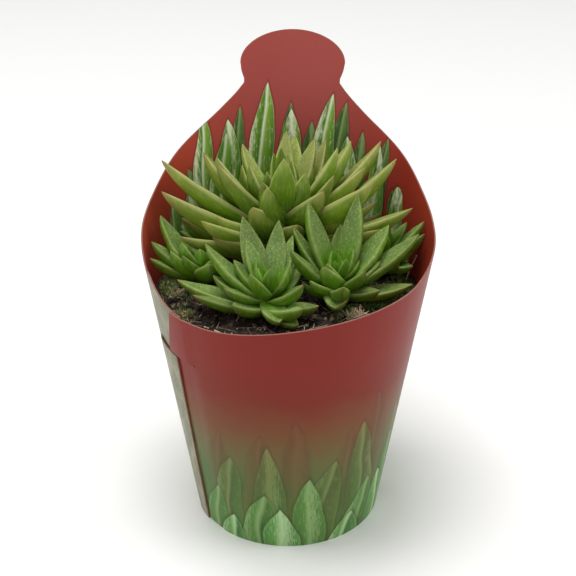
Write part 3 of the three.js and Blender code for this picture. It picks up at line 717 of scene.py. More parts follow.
def inside_print(settings):
    """The same board inside: plain red print, painted lighter towards the left front, with a row of
    glossy upright blades on the panel.
    """
    material, add, shader = start_material("varnished_boxboard_inside")
    uv = add("UVMap", uv_map="card_place")
    # From the right front round the panel to the left front. The red is painted lighter at both
    # ends, most at the left front: painted light on the inner walls, which the lamps light too
    # little. In the middle it takes the inside colour, which carries painted sheen.
    round_inside = add("MapRange", add("SeparateXYZ", uv), 85, 275, 0, 1)
    ground = add("ValToRGB", round_inside, stops=[
        (0, "#a23a28"), (0.21, "#9a3426"), (0.42, settings.inside), (0.58, settings.inside),
        (0.75, "#b24632"), (1, "#bc4c38"),
    ])
    for row in PANEL_BLADES:
        ground = print_blades(add, uv, ground, row, 180)
    card_finish(add, shader, ground)
    return material


def cut_edge(settings):
    """Bare board where the die cut it: pale, matt and a little fibrous."""
    material, add, shader = start_material("cut_boxboard_edge")
    # Board fibres, 0.15 mm thick, drawn at 0.5 mm so that they show.
    fibres = add("TexNoise", add("TexCoord").outputs["Object"], 1 / (0.5 * MM))
    tint = add("ValToRGB", fibres, stops=[(0.3, "#7a4c42"), (0.6, settings.core)])
    feed(shader, Base_Color=tint, Roughness=0.85)
    return material


class BuildCardSleeve(bpy.types.Operator):
    """Models the rolled, slit and tabbed card sleeve and prints it"""

    bl_idname = "haworthia.card_sleeve"
    bl_label = "Card sleeve"

    def execute(self, context):
        settings = context.scene.haworthia_sleeve
        sheet = model_sheet()
        dress(sheet, outside_print(settings), inside_print(settings), cut_edge(settings))
        thicken(sheet, settings.card)
        settle(sheet, "sleeve_card", "card_sleeve")
        return {"FINISHED"}


# --- Leaves ---


def soil_height(x, y):
    """Height of the heaped soil, in mm."""
    height, per_x, start_x, per_y, start_y = SWELL
    low = height * np.sin(per_x * x + start_x) * np.cos(per_y * y + start_y)
    height, per_x, start_x, per_y, start_y = RIPPLE
    high = height * np.sin(per_x * x + start_x) * np.sin(per_y * y + start_y)
    away = ((x - MOUND[0]) ** 2 + (y - MOUND[1]) ** 2) / (2 * MOUND_SPREAD**2)
    return SOIL_Z + low + high + MOUND_HEIGHT * np.exp(-away)


def leaf_frames(leaf, s):
    """Midline points of a leaf at shares of its length, and its directions across and up."""
    start = math.radians(leaf.rise - LEAF_CURL / 2)
    bend = math.radians(LEAF_CURL)
    turn = start + bend * s
    forward = leaf.length * (np.sin(turn) - math.sin(start)) / bend
    up = leaf.length * (math.cos(start) - np.cos(turn)) / bend
    out = polar(leaf.azimuth, 1, 0)
    level = polar(leaf.azimuth + 90, 1, 0)
    sky = np.array([0, 0, 1])
    root = np.array([leaf.rosette.x, leaf.rosette.y, leaf.root])
    points = root + np.outer(forward, out) + np.outer(up, sky)
    upright = np.outer(np.cos(turn), sky) - np.outer(np.sin(turn), out)
    roll = math.radians(-leaf.rosette.roll * math.sin(math.radians(leaf.azimuth)))
    sides = math.cos(roll) * level + math.sin(roll) * upright
    normals = math.cos(roll) * upright - math.sin(roll) * level
    return points, sides, normals


def leaf_beads(leaf):
    """Beads that fill a leaf: centres, radii and shares of its length."""
    s = np.repeat(np.arange(1, SAMPLES_ALONG + 1) / SAMPLES_ALONG, 3)
    across = np.tile([-1, 0, 1], SAMPLES_ALONG)
    points, sides, normals = leaf_frames(leaf, s)
    past = (s - TAPER_FROM) / (1 - TAPER_FROM)
    wide = np.where(s < TAPER_FROM, 1, np.maximum(0, TIP_NARROWING * (1 - past)))
    half = leaf.width / 2 * np.minimum(1, wide)
    thick = leaf.width * LEAF_THICKNESS * np.minimum(1, THINNING_LAG + wide) / 2
    centres = points + (across * half)[:, None] * sides - normals * thick[:, None]
    return centres, thick, s


def has_room(leaf, beads, grown):
    """Whether a leaf is clear of the soil, the card and the leaves round it."""
    centres, thick, s = beads
    x, y, z = centres.T
    if np.any(z - thick < soil_height(x, y) + GAP):
        return False
    card = sleeve_radius(z) - CARD_T - FLAP_OFFSET - GAP
    if np.any(np.hypot(x, y) + thick > card):
        return False
    for other, (others, others_thick, others_s) in grown:
        own = other.rosette is leaf.rosette
        room = CLEAR_OF_OWN if own else CLEAR_OF_OTHERS
        reach = (leaf.length + other.length + leaf.width + other.width) / 2
        if np.linalg.norm(centres[MIDDLE_BEAD] - others[MIDDLE_BEAD]) > reach + room:
            continue
        free = FREE_ROOT if own else 0
        mine, theirs = s >= free, others_s >= free
        apart = np.linalg.norm(centres[mine][:, None] - others[theirs][None], axis=2)
        if np.any(apart <= thick[mine][:, None] + others_thick[theirs][None] + room):
            return False
    return True


def grow_all():
    """Listed leaves first, then those grown by rule where there is room."""
    set_by_hand = [Leaf(rosette, *row) for rosette in ROSETTES for row in rosette.leaves]
    grown = [(leaf, leaf_beads(leaf)) for leaf in set_by_hand]
    state = GROWTH_SEED

    def vary(spread):
        nonlocal state
        state = state * DRAW_STEP % DRAW_RANGE
        return spread * (2 * (state / DRAW_RANGE) - 1)

    for rosette in ROSETTES:
        rule = rosette.grown
        for k in range(rule.count):
            t = k / (rule.count - 1)
            azimuth = GOLDEN_ANGLE * k + vary(TURN_SPREAD)
            length = lerp(*rule.length, t) * (1 + vary(LENGTH_SPREAD))
            width = rule.width * (1 + vary(WIDTH_SPREAD)) * lerp(1, HEART_WIDTH, t)
            rise = lerp(*rule.rise, t) + vary(RISE_SPREAD)
            root = lerp(*rule.root, t)
            for turn, lift in [(turn, lift) for lift in TRY_RISES for turn in TRY_TURNS]:
                steep = min(rise + lift, STEEPEST_RISE)
                leaf = Leaf(rosette, azimuth + turn, steep, length, width, root)
                beads = leaf_beads(leaf)
                if has_room(leaf, beads, grown):
                    grown.append((leaf, beads))
                    break
    return [leaf for leaf, _ in grown]


def model_leaf_blank():
    """The leaf that all are shaped from: a round drawn out ring by ring to a point.

    Its X is across, from -1 to 1, its Y is up from the upper face, in thicknesses, and its Z
    is the share of the length.
    """
    deselect()
    bpy.ops.mesh.primitive_circle_add(vertices=LEAF_SIDES, radius=1, fill_type="NGON")
    mode("EDIT")
    stations = [s for s, _, _ in LEAF_RINGS] + [1]
    for before, after in zip(stations, stations[1:]):
        bpy.ops.mesh.extrude_region_move(TRANSFORM_OT_translate={"value": (0, 0, after - before)})
    bpy.ops.mesh.merge(type="CENTER")
    mode("OBJECT")
    blank = bpy.context.object
    blank.name = "leaf_blank"

    points = points_of(blank.data)
    turn = np.arctan2(points[:, 1], points[:, 0])
    across = np.cos(turn)
    upper = np.sin(turn) > 1e-6
    hollow = LEAF_CROWN * np.sqrt(1 - across**4) - LEAF_CHANNEL * (1 - across**2) ** 1.5
    keel = -np.sqrt(np.clip(1 - np.abs(across) ** KEEL_POWER, 0, 1))
    lift = np.where(upper, hollow, keel)
    at_tip = points[:, 2] > 1 - 1e-6
    s, widths, thicks = (np.array(column) for column in zip(*LEAF_RINGS, (1, 0, 0)))
    width = np.interp(points[:, 2], s, widths)
    thick = np.interp(points[:, 2], s, thicks)
    shaped = np.stack([across * width, lift * thick, points[:, 2]], axis=1)
    shaped[at_tip, :2] = 0
    # Share of the length, nearness to the margin, and 1 on the upper face.
    face = np.where(np.abs(np.sin(turn)) < 1e-6, 0.5, upper)
    rim = np.where(at_tip, 0.5, np.abs(across))
    place = np.stack([points[:, 2], rim, face], axis=1)
    return blank, shaped, place


def nearness_to_heart(rosette, points):
    """1 at a rosette's heart, falling to 0 at its reach, for points in mm."""
    heart = np.array([rosette.x, rosette.y, rosette.heart])
    away = np.linalg.norm((points - heart) * HEART_STRETCH, axis=1)
    return np.clip(1 - away / (HEART_REACH * rosette.scale), 0, 1)


def shape_leaf(blank, shaped, place, leaf, draws):
    """A copy of the blank, bent and set on its rosette."""
    across, lift, s = shaped.T
    points, sides, normals = leaf_frames(leaf, s)
    half = leaf.width / 2
    thick = leaf.width * LEAF_THICKNESS * LEAF_PLUMPNESS
    # Each leaf bows sideways a little and is turned about its midline.
    bow = LEAF_BOW * leaf.length * draws.uniform(-1, 1) * s**2
    twist = math.radians(draws.uniform(-LEAF_TWIST, LEAF_TWIST)) * s
    wide = np.cos(twist)[:, None] * sides + np.sin(twist)[:, None] * normals
    deep = np.cos(twist)[:, None] * normals - np.sin(twist)[:, None] * sides
    placed = points + bow[:, None] * sides
    placed += wide * (across * half)[:, None] + deep * (lift * thick)[:, None]
    start = Vector((draws.uniform(0, 50), draws.uniform(0, 50), 0))
    size = np.array([half / DENT_WIDTH, thick / DENT_WIDTH, leaf.length / DENT_LENGTH])
    dents = np.array([noise.noise(start + Vector(point)) for point in shaped * size])
    placed += deep * (DENT_DEPTH * dents)[:, None] * np.minimum(1, 4 * (1 - s))[:, None]

    copy = copy_of(blank)
    set_points(copy.data, placed)
    paint(copy.data, "leaf_place", place)
    # Each leaf's own tone and age, and how near the heart each of its points lies.
    age = min(1, max(0, (YOUNGEST_RISE - leaf.rise) / RIPENING_TURN))
    kind = np.empty((len(placed), 3))
    kind[:, 0] = draws.random()
    kind[:, 1] = age * draws.uniform(LEAST_RIPE, 1)
    kind[:, 2] = nearness_to_heart(leaf.rosette, placed)
    paint(copy.data, "leaf_kind", kind)
    # Its flecks come from a stretch of the pattern that is its own.
    slip = draws.uniform(0, 400)
    lay_uv(copy.data, "leaf_mm", np.stack([across * half + slip, s * leaf.length], axis=1))
    return copy


def heart_leaves(rosette):
    """Small upright leaves round the growing point."""
    for k in range(HEART_LEAVES):
        t = k / (HEART_LEAVES - 1)
        azimuth = GOLDEN_ANGLE * k + HEART_TURN
        length, width = (lerp(*ends, t) * rosette.scale for ends in (HEART_LENGTHS, HEART_WIDTHS))
        root = rosette.heart - HEART_SINK * rosette.scale
        yield Leaf(rosette, azimuth, lerp(*HEART_RISES, t), length, width, root)


def model_stem(rosette):
    """The short stem that the leaves stand on, thicker at its foot."""
    deselect()
    height = rosette.heart - STEM_FOOT_Z
    bpy.ops.mesh.primitive_cone_add(
        vertices=STEM_SIDES, radius1=rosette.stem * MM, radius2=STEM_TAPER * rosette.stem * MM,
        depth=height * MM, location=(0, 0, 0),
    )
    mesh = bpy.context.object.data
    set_points(mesh, points_of(mesh) / MM + (rosette.x, rosette.y, STEM_FOOT_Z + height / 2))
    # Coloured as the foot of a leaf's underside, close to the heart, with the painted shade that
    # lies there.
    paint(mesh, "leaf_place", (0, 0.3, 0))
    paint(mesh, "leaf_kind", (0.4, 0, 1))
    lay_uv(mesh, "leaf_mm", points_of(mesh)[:, :2] / MM)
    return bpy.context.object


def leaf_skin(name, upper, lower, settings, brownness, horn_and_sheen, depth):
    """Living succulent skin: satin, waxy, and lit from within where it is thin."""
    material, add, shader = start_material(name)
    place = add("SeparateColor", add("Attribute", attribute_name="leaf_place"))
    kind = add("SeparateColor", add("Attribute", attribute_name="leaf_kind"))
    along, rim, face = place.outputs
    tone, age, nearness = kind.outputs
    at = add("TexCoord").outputs["Object"]

    # The upper face is vivid round the heart and pale as sage further out. Along its rolled margins
    # it is painted paler, a painted highlight where they would catch the light.
    above = add("ValToRGB", nearness, stops=[
        (0, upper), (0.3, upper), (0.62, lower), (1, settings.heart),
    ])
    rolled = add("MapRange", rim, 0.5, 0.92, 0, 0.44 * horn_and_sheen)
    above = add("Mix", rolled, above, "#aab868", data_type="RGBA")
    # The underside is deep green at the root, vivid in the middle and olive at the tip.
    below = add("ValToRGB", along, stops=[
        (0.08, settings.base), (0.45, lower), (0.78, lower), (1, upper),
    ])
    # Near the heart the undersides are darkened further towards the base green: painted shade under
    # the rosette.
    shaded = add("Math", nearness, depth, operation="MULTIPLY")
    below = add("Mix", shaded, below, settings.base, data_type="RGBA")
    skin = add("Mix", face, below, above, data_type="RGBA")

    # Pale flecks of about 0.6 by 3 mm that follow the leaf, and broad cloudy patches of 6 mm.
    leaf_mm = add("UVMap", uv_map="leaf_mm")
    stretched = add("VectorMath", leaf_mm, (1.7, 0.33, 1), operation="MULTIPLY")
    flecks = add("TexNoise", stretched, 1, 4, 0.6)
    flecked = add("MapRange", flecks, 0.48, 0.72, 0, 0.36)
    mottled = add("Mix", flecked, skin, "#aab86a", data_type="RGBA")
    # Pale raised dots of about 0.6 mm on the upper face, fewer towards the heart.
    dotted = add("MapRange", add("TexNoise", at, 1 / (0.6 * MM), 1), 0.5, 0.74, 0, 0.5)
    outer = add("MapRange", nearness, 0.2, 0.7, 1, 0.1)
    for share in (outer, face):
        dotted = add("Math", dotted, share, operation="MULTIPLY")
    mottled = add("Mix", dotted, mottled, "#bccb96", data_type="RGBA")
    lightness = add("MapRange", tone, 0, 1, 0.8, 1.12)
    clouds = add("TexNoise", at, 1 / (6 * MM), 2)
    cloudy = add("MapRange", clouds, 0.3, 0.7, 0.8, 1.1)
    value = add("Math", lightness, cloudy, operation="MULTIPLY")
    toned = add("HueSaturation", Color=mottled, Value=value)

    # Old leaves turn olive brown towards the tip, and their edges are a pale horny line.
    ripe = add("MapRange", along, 0.45, 1, 0, brownness)
    ripe = add("Math", ripe, age, operation="MULTIPLY")
    ripened = add("Mix", ripe, toned, "#94804a", data_type="RGBA")
    line = add("MapRange", rim, 0.955, 0.995, 0, horn_and_sheen)
    edged = add("Mix", line, ripened, settings.margin, data_type="RGBA")
    point = add("MapRange", along, 0.93, 0.99, 0, 1)
    dried = add("Math", point, age, operation="MULTIPLY")
    colour = add("Mix", dried, edged, settings.tip, data_type="RGBA")

    # Wax: rougher in patches. The flecks and the dots stand a little proud of it.
    wax = add("MapRange", clouds, 0.3, 0.7, 0.38, 0.5)
    height = add("Math", dotted, 0.8, flecks, operation="MULTIPLY_ADD")
    feed(
        shader, Base_Color=colour, Roughness=wax, Specular_IOR_Level=0.24,
        Subsurface_Weight=0.25, Subsurface_Radius=(0.6, 1.0, 0.05), Subsurface_Scale=2 * MM,
        Normal=add("Bump", Height=height, Distance=0.14 * MM),
    )
    return material


class GrowRosettes(bpy.types.Operator):
    """Shapes every leaf from one blank and joins them into the rosettes"""

    bl_idname = "haworthia.rosettes"
    bl_label = "Leaf rosettes"

    def execute(self, context):
        settings = context.scene.haworthia_leaves
        draws = random.Random(settings.seed)
        # Each skin's horn figure sets its pale edge line and also the painted highlight on its
        # margins.
        # The depth sets how strongly the undersides near the heart take the painted shade.
        old = leaf_skin(
            "old_haworthia_leaf", settings.old_upper, settings.old_lower, settings,
            brownness=0.6, horn_and_sheen=0.5, depth=1.3,
        )
        young = leaf_skin(
            "young_haworthia_leaf", settings.young_upper, settings.young_lower, settings,
            brownness=0.2, horn_and_sheen=0.24, depth=0.4,
        )
        blank, shaped, place = model_leaf_blank()
        leaves = grow_all()
        for rosette in ROSETTES:
            own = [leaf for leaf in leaves if leaf.rosette is rosette]
            parts = [model_stem(rosette)]
            for leaf in [*own, *heart_leaves(rosette)]:
                parts.append(shape_leaf(blank, shaped, place, leaf, draws))
            clump = join(rosette.name.replace("rosette", "leaves"), parts)
            bpy.ops.object.shade_smooth()
            main = rosette.name == "rosette_main"
            dress(clump, old if main else young)
            settle(clump, "old_leaf" if main else "young_leaf", rosette.name)
        bpy.data.objects.remove(blank)
        return {"FINISHED"}


# --- Soil and what lies on it ---


def crumbly_height(x, y):
    """The soil's surface with its lumps and grains, in mm."""
    lumps = noise.noise(Vector((x / LUMP_SIZE, y / LUMP_SIZE, 0)))
    grains = noise.noise(Vector((x / GRAIN_SIZE, y / GRAIN_SIZE, 7)))
    level = float(soil_height(x, y))
    return level + LUMP_HEIGHT * lumps + GRAIN_HEIGHT * grains - SOIL_EDGE_DROP


def pot_inside(z):
    """Inside radius of the pot's wall."""
    heights = (POT_FLOOR, POT_H - POT_LIP_H, POT_H)
    return float(np.interp(z, heights, (POT_BASE_INSIDE, POT_NECK_INSIDE, POT_MOUTH_R)))


def model_soil():
    """The heap's surface as a fine sheet cut round, drawn down into the pot."""
    deselect()
    cells = round(2 * SOIL_EDGE_R / SOIL_CELL)
    bpy.ops.mesh.primitive_grid_add(
        x_subdivisions=cells, y_subdivisions=cells, size=2 * SOIL_EDGE_R,
    )
    soil = bpy.context.object
    mesh = soil.data
    points = points_of(mesh)
    choose(soil, "VERT", np.hypot(points[:, 0], points[:, 1]) > SOIL_EDGE_R - 0.4 * SOIL_CELL)
    bpy.ops.mesh.delete(type="VERT")
    bpy.ops.mesh.select_all(action="SELECT")
    bpy.ops.mesh.region_to_loop()
    mode("OBJECT")

    def move_rim(points, radius):
        """Moves the selected rim out or in to a radius and returns which points it is."""
        rim = np.array([vertex.select for vertex in mesh.vertices])
        away = np.hypot(points[:, 0], points[:, 1])
        points[rim, :2] *= (radius / away[rim])[:, None]
        return rim

    lip_top = POT_H + GAP
    points = points_of(mesh)
    move_rim(points, SOIL_EDGE_R + SLEEVE_FLARE * (SOIL_Z - SOIL_EDGE_DROP - lip_top))
    points[:, 2] = [crumbly_height(x, y) for x, y in points[:, :2]]
    set_points(mesh, points)

    levels = [(SOIL_EDGE_R, lip_top), (pot_inside(POT_H) - GAP, lip_top)]
    levels += [(pot_inside(z) - GAP, z) for z in (POT_H - POT_LIP_H, POT_FLOOR + GAP)]
    for radius, height in levels:
        mode("EDIT")
        bpy.ops.mesh.extrude_region()
        mode("OBJECT")
        points = points_of(mesh) / MM
        points[move_rim(points, radius), 2] = height
        set_points(mesh, points)
    mode("EDIT")
    bpy.ops.mesh.edge_face_add()
    bpy.ops.mesh.select_all(action="SELECT")
    bpy.ops.mesh.normals_make_consistent(inside=False)
    mode("OBJECT")
    bpy.ops.object.shade_smooth()
    soil.name = "peat_heap"
    return soil


def peat_material(settings):
    """Damp peat: dark, matt and crumbly, with paler crumbs."""
    material, add, shader = start_material("damp_peat")
    at = add("TexCoord").outputs["Object"]
    # Crumbs of about 1.2 mm, with finer ones of 0.7 mm between them.
    crumbs = add("TexNoise", at, 1 / (1.2 * MM), 5, 0.7)
    dust = add("TexVoronoi", at, 1 / (0.7 * MM))
    colour = add("ValToRGB", crumbs, stops=[
        (0.34, "#0b0806"), (0.5, settings.peat), (0.62, "#4a382a"), (0.74, "#7c6852"),
    ])
    height = add("Math", dust, 0.4, crumbs, operation="MULTIPLY_ADD")
    relief = add("Bump", Height=height, Distance=0.8 * MM)
    feed(shader, Base_Color=colour, Roughness=0.92, Normal=relief)
    return material


def toned_material(name, stops, roughness, grain):
    """A matt natural stuff whose colour each small copy draws for itself."""
    material, add, shader = start_material(name)
    tone = add("SeparateColor", add("Attribute", attribute_name="tone"))
    fine = add("TexNoise", add("TexCoord").outputs["Object"], 1 / (grain * MM), 3)
    spread = add("MapRange", fine, 0.3, 0.7, -0.18, 0.18)
    colour = add("ValToRGB", add("Math", tone, spread, operation="ADD"), stops=stops)
    relief = add("Bump", Height=fine, Distance=0.1 * grain * MM)
    feed(shader, Base_Color=colour, Roughness=roughness, Normal=relief)
    return material


def random_spot(draws, edge):
    """A point on the soil, even over its area and clear of its edge, in mm."""
    radius = (SOIL_EDGE_R - edge) * math.sqrt(draws.random())
    turn = draws.uniform(0, 2 * math.pi)
    return radius * math.cos(turn), radius * math.sin(turn)


def strew(name, templates, spots, stuff):
    """Copies of templates set at spots: x, y, z in mm, turns, scales and tone."""
    copies = []
    for k, (place, turns, scales, tone) in enumerate(spots):
        tilt = Matrix.Rotation(turns[2], 4, "Z") @ Matrix.Rotation(turns[0], 4, "X")
        tilt = tilt @ Matrix.Rotation(turns[1], 4, "Y")
        matrix = Matrix.Translation(place) @ tilt @ Matrix.Diagonal((*scales, 1))
        copy = copy_of(templates[k % len(templates)])
        copy.data.transform(Matrix.Scale(MM, 4) @ matrix @ Matrix.Scale(1 / MM, 4))
        paint(copy.data, "tone", tone)
        copies.append(copy)
    strewn = join(name, copies)
    for template in templates:
        bpy.data.objects.remove(template)
    dress(strewn, stuff)
    settle(strewn, "peat")


LUMP_SHAKE = (0.7, 1.25)  # least and greatest radius of a lump's corners
LUMPS_CLEAR = 1.2  # how far the lumps keep from the soil's edge


def model_lump(draws):
    """A rough little lump, 1 mm in radius."""
    deselect()
    bpy.ops.mesh.primitive_ico_sphere_add(subdivisions=1, radius=MM)
    lump = bpy.context.object
    points = points_of(lump.data) / MM
    shake = np.array([[draws.uniform(*LUMP_SHAKE)] for _ in points])
    set_points(lump.data, points * shake)
    return lump


Lumps = namedtuple("Lumps", "name least more power sunk lift longest darkness kinds")

# Loose lumps on the peat: the least size, how much more there may be and how rarely, how
# high a lump lies as a share of its size and in mm, how far it may be drawn out, how dark
# most are, and how many kinds there are.
CRUMBS = Lumps("peat_crumbs", 0.28, 0.75, 2.5, 0.35, 0, 1.4, 1.6, 4)
GRIT = Lumps("soil_grit", 0.16, 0.26, 1, 0, 0.8, 1.3, 1, 3)


def strew_lumps(lumps, count, draws, stuff):
    """Strews rough lumps over the soil."""
    spots = []
    for _ in range(count):
        x, y = random_spot(draws, LUMPS_CLEAR)
        size = lumps.least + lumps.more * draws.random() ** lumps.power
        z = crumbly_height(x, y) + lumps.sunk * size + lumps.lift
        turns = [draws.uniform(0, math.tau) for _ in range(3)]
        scales = [size * draws.uniform(0.7, lumps.longest) for _ in range(3)]
        spots.append(((x, y, z), turns, scales, draws.random() ** lumps.darkness))
    strew(lumps.name, [model_lump(draws) for _ in range(lumps.kinds)], spots, stuff)


class HeapSoil(bpy.types.Operator):
    """Heaps the peat and strews its crumbs and grit"""

    bl_idname = "haworthia.soil"
    bl_label = "Potting soil"

    def execute(self, context):
        settings = context.scene.haworthia_soil
        draws = random.Random(settings.seed)
        soil = model_soil()
        dress(soil, peat_material(settings))
        settle(soil, "peat", "potting_soil")
        peat = [(0, "#120d0a"), (0.4, "#261d15"), (0.75, "#4a3a2a"), (1, "#7c6c56")]
        sand = [(0, "#6f655a"), (0.6, "#8c8274"), (1, "#a29a8c")]
        stuff = toned_material("peat_crumb", peat, roughness=0.93, grain=0.5)
        strew_lumps(CRUMBS, settings.crumbs, draws, stuff)
        stuff = toned_material("quartz_sand", sand, roughness=0.6, grain=0.3)
        strew_lumps(GRIT, settings.grit, draws, stuff)
        return {"FINISHED"}


# Clumps of moss: x, y, reach, share of the sprigs and how dry it is, from 0 to 1.
MOSS_CLUMPS = [
    (-37.5, -3, 7.5, 0.26, 0.5), (-33, -15, 5, 0.05, 0.6), (29.5, -7, 9, 0.34, 0.12),
    (20, -17, 6, 0.12, 0.25), (36.5, 4, 5.5, 0.12, 0.25), (-4, -36, 6, 0.1, 0.4),
]
SPRIG_LEAFLETS = 5
SPRIG_LEAFLET_R = 0.16
SPRIG_SPREAD = 38  # degrees that the leaflets lean out
SPRIG_HEIGHTS = (1.1, 2.5)
SPRIG_TILT = 0.5  # radians, each way
DRYNESS_SPREAD = 0.35
# Sprays of dry straw: x, y and number of straws.
TUFTS = [(19.4, -18.4, 26), (22.6, -17.2, 20), (-36, -8, 16), (-4, -36.5, 14)]
STRAW_TILTS = (0.2, 1.2)  # from upright, in radians
STRAW_LENGTHS = (2.2, 4.6)
STRAW_RADII = (0.09, 0.14)
# Dry stalks lying about: from one end to the other, and thickness, in mm.
STALKS = [
    ((38.6, 5, 81.5), (42.2, 9.5, 88), 0.42),
    ((-41.6, 9.5, 87), (-38.5, 3, 84), 0.4),
    ((-38, 5.5, 81.6), (-31, 8.5, 83.4), 0.5),
    ((-26, -24, 80.6), (-17, -31, 80.8), 0.5),
    ((-22, -29, 80.9), (-12, -33.5, 80.6), 0.4),
    ((4, -35.5, 80.4), (11, -33, 80.8), 0.4),
    ((31, 3, 81), (38, 1, 81.5), 0.4),
]
FIBRE_LENGTHS = (2, 7)
FIBRE_RADII = (0.07, 0.15)
FIBRES_CLEAR = 3  # how far from the soil's edge they start
FIBRE_SIDES = 5
FIBRE_STEPS = 6
FIBRE_BENDS = (0.6, -0.8, 1.2)


def model_sprig():
    """A moss sprig 1 mm tall: narrow leaflets spread from one foot."""
    leaflets = []
    for k in range(SPRIG_LEAFLETS):
        deselect()
        bpy.ops.mesh.primitive_cone_add(
            vertices=3, radius1=SPRIG_LEAFLET_R * MM, radius2=0, depth=MM,
        )
        leaflet = bpy.context.object
        lean = Matrix.Rotation(math.radians(SPRIG_SPREAD), 4, "X")
        tilt = lean @ Matrix.Translation((0, 0, 0.5 * MM))
        leaflet.data.transform(Matrix.Rotation(math.tau * k / SPRIG_LEAFLETS, 4, "Z") @ tilt)
        leaflets.append(leaflet)
    return join("sprig", leaflets)


def model_fibre(bend):
    """A thin bent stalk of length 1 mm along Z and radius 1 mm, for scaling."""
    deselect()
    bpy.ops.mesh.primitive_circle_add(vertices=FIBRE_SIDES, radius=1, fill_type="NGON")
    mode("EDIT")
    for _ in range(FIBRE_STEPS):
        bpy.ops.mesh.extrude_region_move(TRANSFORM_OT_translate={"value": (0, 0, 1 / FIBRE_STEPS)})
    mode("OBJECT")
    fibre = bpy.context.object
    points = points_of(fibre.data)
    points[:, 0] += bend * np.sin(math.pi * points[:, 2])
    points[:, 1] += 0.4 * bend * np.sin(2 * math.pi * points[:, 2])
    set_points(fibre.data, points)
    return fibre


def between(start, end, radius, tone):
    """The spot that stretches a fibre from one point to another."""
    along = end - start
    turn = along.to_track_quat("Z", "Y").to_euler("YXZ")
    return start, (turn.x, turn.y, turn.z), (radius, radius, along.length), tone


def moss_spots(count, draws):
    """Where the sprigs of every clump stand, shorter towards its edge."""
    for x0, y0, reach, share, dry in MOSS_CLUMPS:
        for _ in range(round(count * share)):
            away = reach * math.sqrt(draws.random())
            turn = draws.uniform(0, math.tau)
            x, y = x0 + away * math.cos(turn), y0 + away * math.sin(turn)
            if math.hypot(x, y) > SOIL_EDGE_R - 1:
                continue
            size = draws.uniform(*SPRIG_HEIGHTS) * (1.1 - 0.5 * away / reach)
            turns = [draws.uniform(-spread, spread) for spread in (SPRIG_TILT, SPRIG_TILT)]
            turns.append(draws.uniform(0, math.tau))
            z = crumbly_height(x, y) - 0.2
            tone = min(1, max(0, dry + draws.uniform(-DRYNESS_SPREAD, DRYNESS_SPREAD)))
            yield (x, y, z), turns, (size, size, size), tone


def stalk_spots(count, draws):
    """Where the dry stalks, the sprays of straw and the root fibres lie."""
    for start, end, thick in STALKS:
        yield between(Vector(start), Vector(end), thick / 2, draws.uniform(0.6, 1))
    for x, y, straws in TUFTS:
        foot = Vector((x, y, crumbly_height(x, y)))
        for _ in range(straws):
            turn, tilt = draws.uniform(0, math.tau), draws.uniform(*STRAW_TILTS)
            way = Vector((math.cos(turn), math.sin(turn), 1 / math.tan(tilt))).normalized()
            tip = foot + draws.uniform(*STRAW_LENGTHS) * way
            yield between(foot, tip, draws.uniform(*STRAW_RADII), draws.uniform(0.75, 1))
    for _ in range(count):
        x, y = random_spot(draws, FIBRES_CLEAR)
        long = draws.uniform(*FIBRE_LENGTHS)
        turn = draws.uniform(0, math.tau)
        start = Vector((x, y, crumbly_height(x, y) + 0.5))
        x, y = x + long * math.cos(turn), y + long * math.sin(turn)
        if math.hypot(x, y) > SOIL_EDGE_R - 1.5:
            continue
        end = Vector((x, y, crumbly_height(x, y) + draws.uniform(0.5, 1.6)))
        yield between(start, end, draws.uniform(*FIBRE_RADII), draws.random())


class GrowMoss(bpy.types.Operator):
    """Grows the clumps of moss and lays the dry stalks and root fibres"""

    bl_idname = "haworthia.moss"
    bl_label = "Moss and dry stalks"

    def execute(self, context):
        settings = context.scene.haworthia_soil
        draws = random.Random(settings.seed + 1)
        moss = [(0, "#3c6428"), (0.35, settings.moss), (0.7, "#989a6a"), (1, settings.straw)]
        straw = [(0, "#5e4e40"), (0.5, "#9a866e"), (1, settings.straw)]
        stuff = toned_material("cushion_moss", moss, roughness=0.8, grain=0.6)
        strew("moss_clumps", [model_sprig()], moss_spots(settings.sprigs, draws), stuff)
        stuff = toned_material("dry_plant_fibre", straw, roughness=0.75, grain=0.8)
        fibres = [model_fibre(bend) for bend in FIBRE_BENDS]
        strew("dry_stalks", fibres, stalk_spots(settings.fibres, draws), stuff)
        return {"FINISHED"}


# --- Nursery pot ---


class FinishPot(bpy.types.Operator):
    """Gives the nursery pot its moulded black plastic"""

    bl_idname = "haworthia.pot"
    bl_label = "Nursery pot"

    def execute(self, context):
        # Recycled polypropylene: nearly black, satin, with flow marks of about 9 mm and a fine
        # 0.5 mm mould texture.
        material, add, shader = start_material("moulded_polypropylene")
        at = add("TexCoord").outputs["Object"]
        flow = add("TexNoise", at, 1 / (9 * MM))
        grain = add("TexNoise", at, 1 / (0.5 * MM))
        colour = add("ValToRGB", flow, stops=[(0.3, "#171718"), (0.7, "#232324")])
        relief = add("Bump", Height=grain, Distance=0.05 * MM)
        feed(shader, Base_Color=colour, Roughness=0.48, Normal=relief)
        dress(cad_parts["nursery_pot"], material)
        return {"FINISHED"}


# --- Stage ---

# Soft lights: name, place in metres, edge length in metres, and power in watts.
LIGHTS = [
    ("softbox_overhead", (-0.1, 0.0, 1.1), 0.5, 8),
    ("softbox_front_left", (-0.35, -1.1, 0.3), 1.0, 2.6),
    ("softbox_left", (-1.0, 0.1, 0.5), 0.6, 2.2),
    ("softbox_right", (1.0, -0.1, 0.5), 0.6, 3.6),
]
STUDIO_GLOW = 0.44
FLOOR_SIZE = 6  # metres
SENSOR_WIDTH = 36  # mm
NEAREST_SEEN = 0.01  # metres


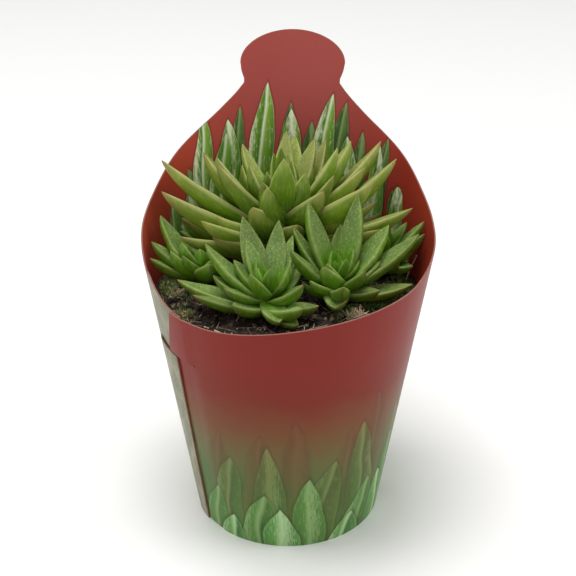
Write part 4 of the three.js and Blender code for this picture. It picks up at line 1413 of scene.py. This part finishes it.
class SetStage(bpy.types.Operator):
    """Lays the floor and sets the lights and the camera"""

    bl_idname = "haworthia.stage"
    bl_label = "Stage"

    def execute(self, context):
        settings = context.scene.haworthia_stage
        deselect()
        bpy.ops.mesh.primitive_plane_add(size=FLOOR_SIZE)
        floor = context.object
        floor.name = "floor"
        material, _, shader = start_material("matt_paper_sweep")
        feed(shader, Base_Color=settings.floor, Roughness=0.9)
        dress(floor, material)

        target = Vector((0, 0, settings.looks_at))
        for name, place, size, power in LIGHTS:
            bpy.ops.object.light_add(type="AREA", location=place)
            light = context.object
            light.name = name
            light.data.size = size
            light.data.energy = power
            light.rotation_euler = (target - Vector(place)).to_track_quat("-Z", "Y").to_euler()

        world = bpy.data.worlds.new("studio")
        world.use_nodes = True
        feed(world.node_tree.nodes["Background"], (1, 1, 1, 1), STUDIO_GLOW)
        context.scene.world = world
        context.scene.view_settings.view_transform = "Standard"

        elevation = settings.camera_elevation
        back = Vector((0, -math.cos(elevation), math.sin(elevation)))
        bpy.ops.object.camera_add(location=target + back * settings.camera_distance)
        camera = context.object
        camera.rotation_euler = (-back).to_track_quat("-Z", "Y").to_euler()
        camera.data.lens = settings.lens
        camera.data.sensor_width = SENSOR_WIDTH
        camera.data.clip_start = NEAREST_SEEN
        context.scene.camera = camera
        return {"FINISHED"}


# --- Panel and registration ---

OPERATORS = [BuildCardSleeve, GrowRosettes, HeapSoil, GrowMoss, FinishPot, SetStage]
SETTINGS = {
    "haworthia_sleeve": HaworthiaSleeveSettings,
    "haworthia_leaves": HaworthiaLeafSettings,
    "haworthia_soil": HaworthiaSoilSettings,
    "haworthia_stage": HaworthiaStageSettings,
}


class HaworthiaPanel(bpy.types.Panel):
    """Lists the pieces in the order in which they are made"""

    bl_idname = "VIEW3D_PT_haworthia"
    bl_label = "Potted haworthia"
    bl_space_type = "VIEW_3D"
    bl_region_type = "UI"
    bl_category = "Haworthia"

    def draw(self, context):
        for operator in OPERATORS:
            self.layout.operator(operator.bl_idname)


def register():
    for cls in [*SETTINGS.values(), *OPERATORS, HaworthiaPanel]:
        bpy.utils.register_class(cls)
    for name, group in SETTINGS.items():
        setattr(bpy.types.Scene, name, bpy.props.PointerProperty(type=group))


def unregister():
    for name in SETTINGS:
        delattr(bpy.types.Scene, name)
    for cls in [HaworthiaPanel, *reversed(OPERATORS), *reversed(SETTINGS.values())]:
        bpy.utils.unregister_class(cls)


def main():
    register()
    bpy.ops.haworthia.card_sleeve()
    bpy.ops.haworthia.rosettes()
    bpy.ops.haworthia.soil()
    bpy.ops.haworthia.moss()
    bpy.ops.haworthia.pot()
    bpy.ops.haworthia.stage()
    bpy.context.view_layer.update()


if __name__ == "__main__":
    main()
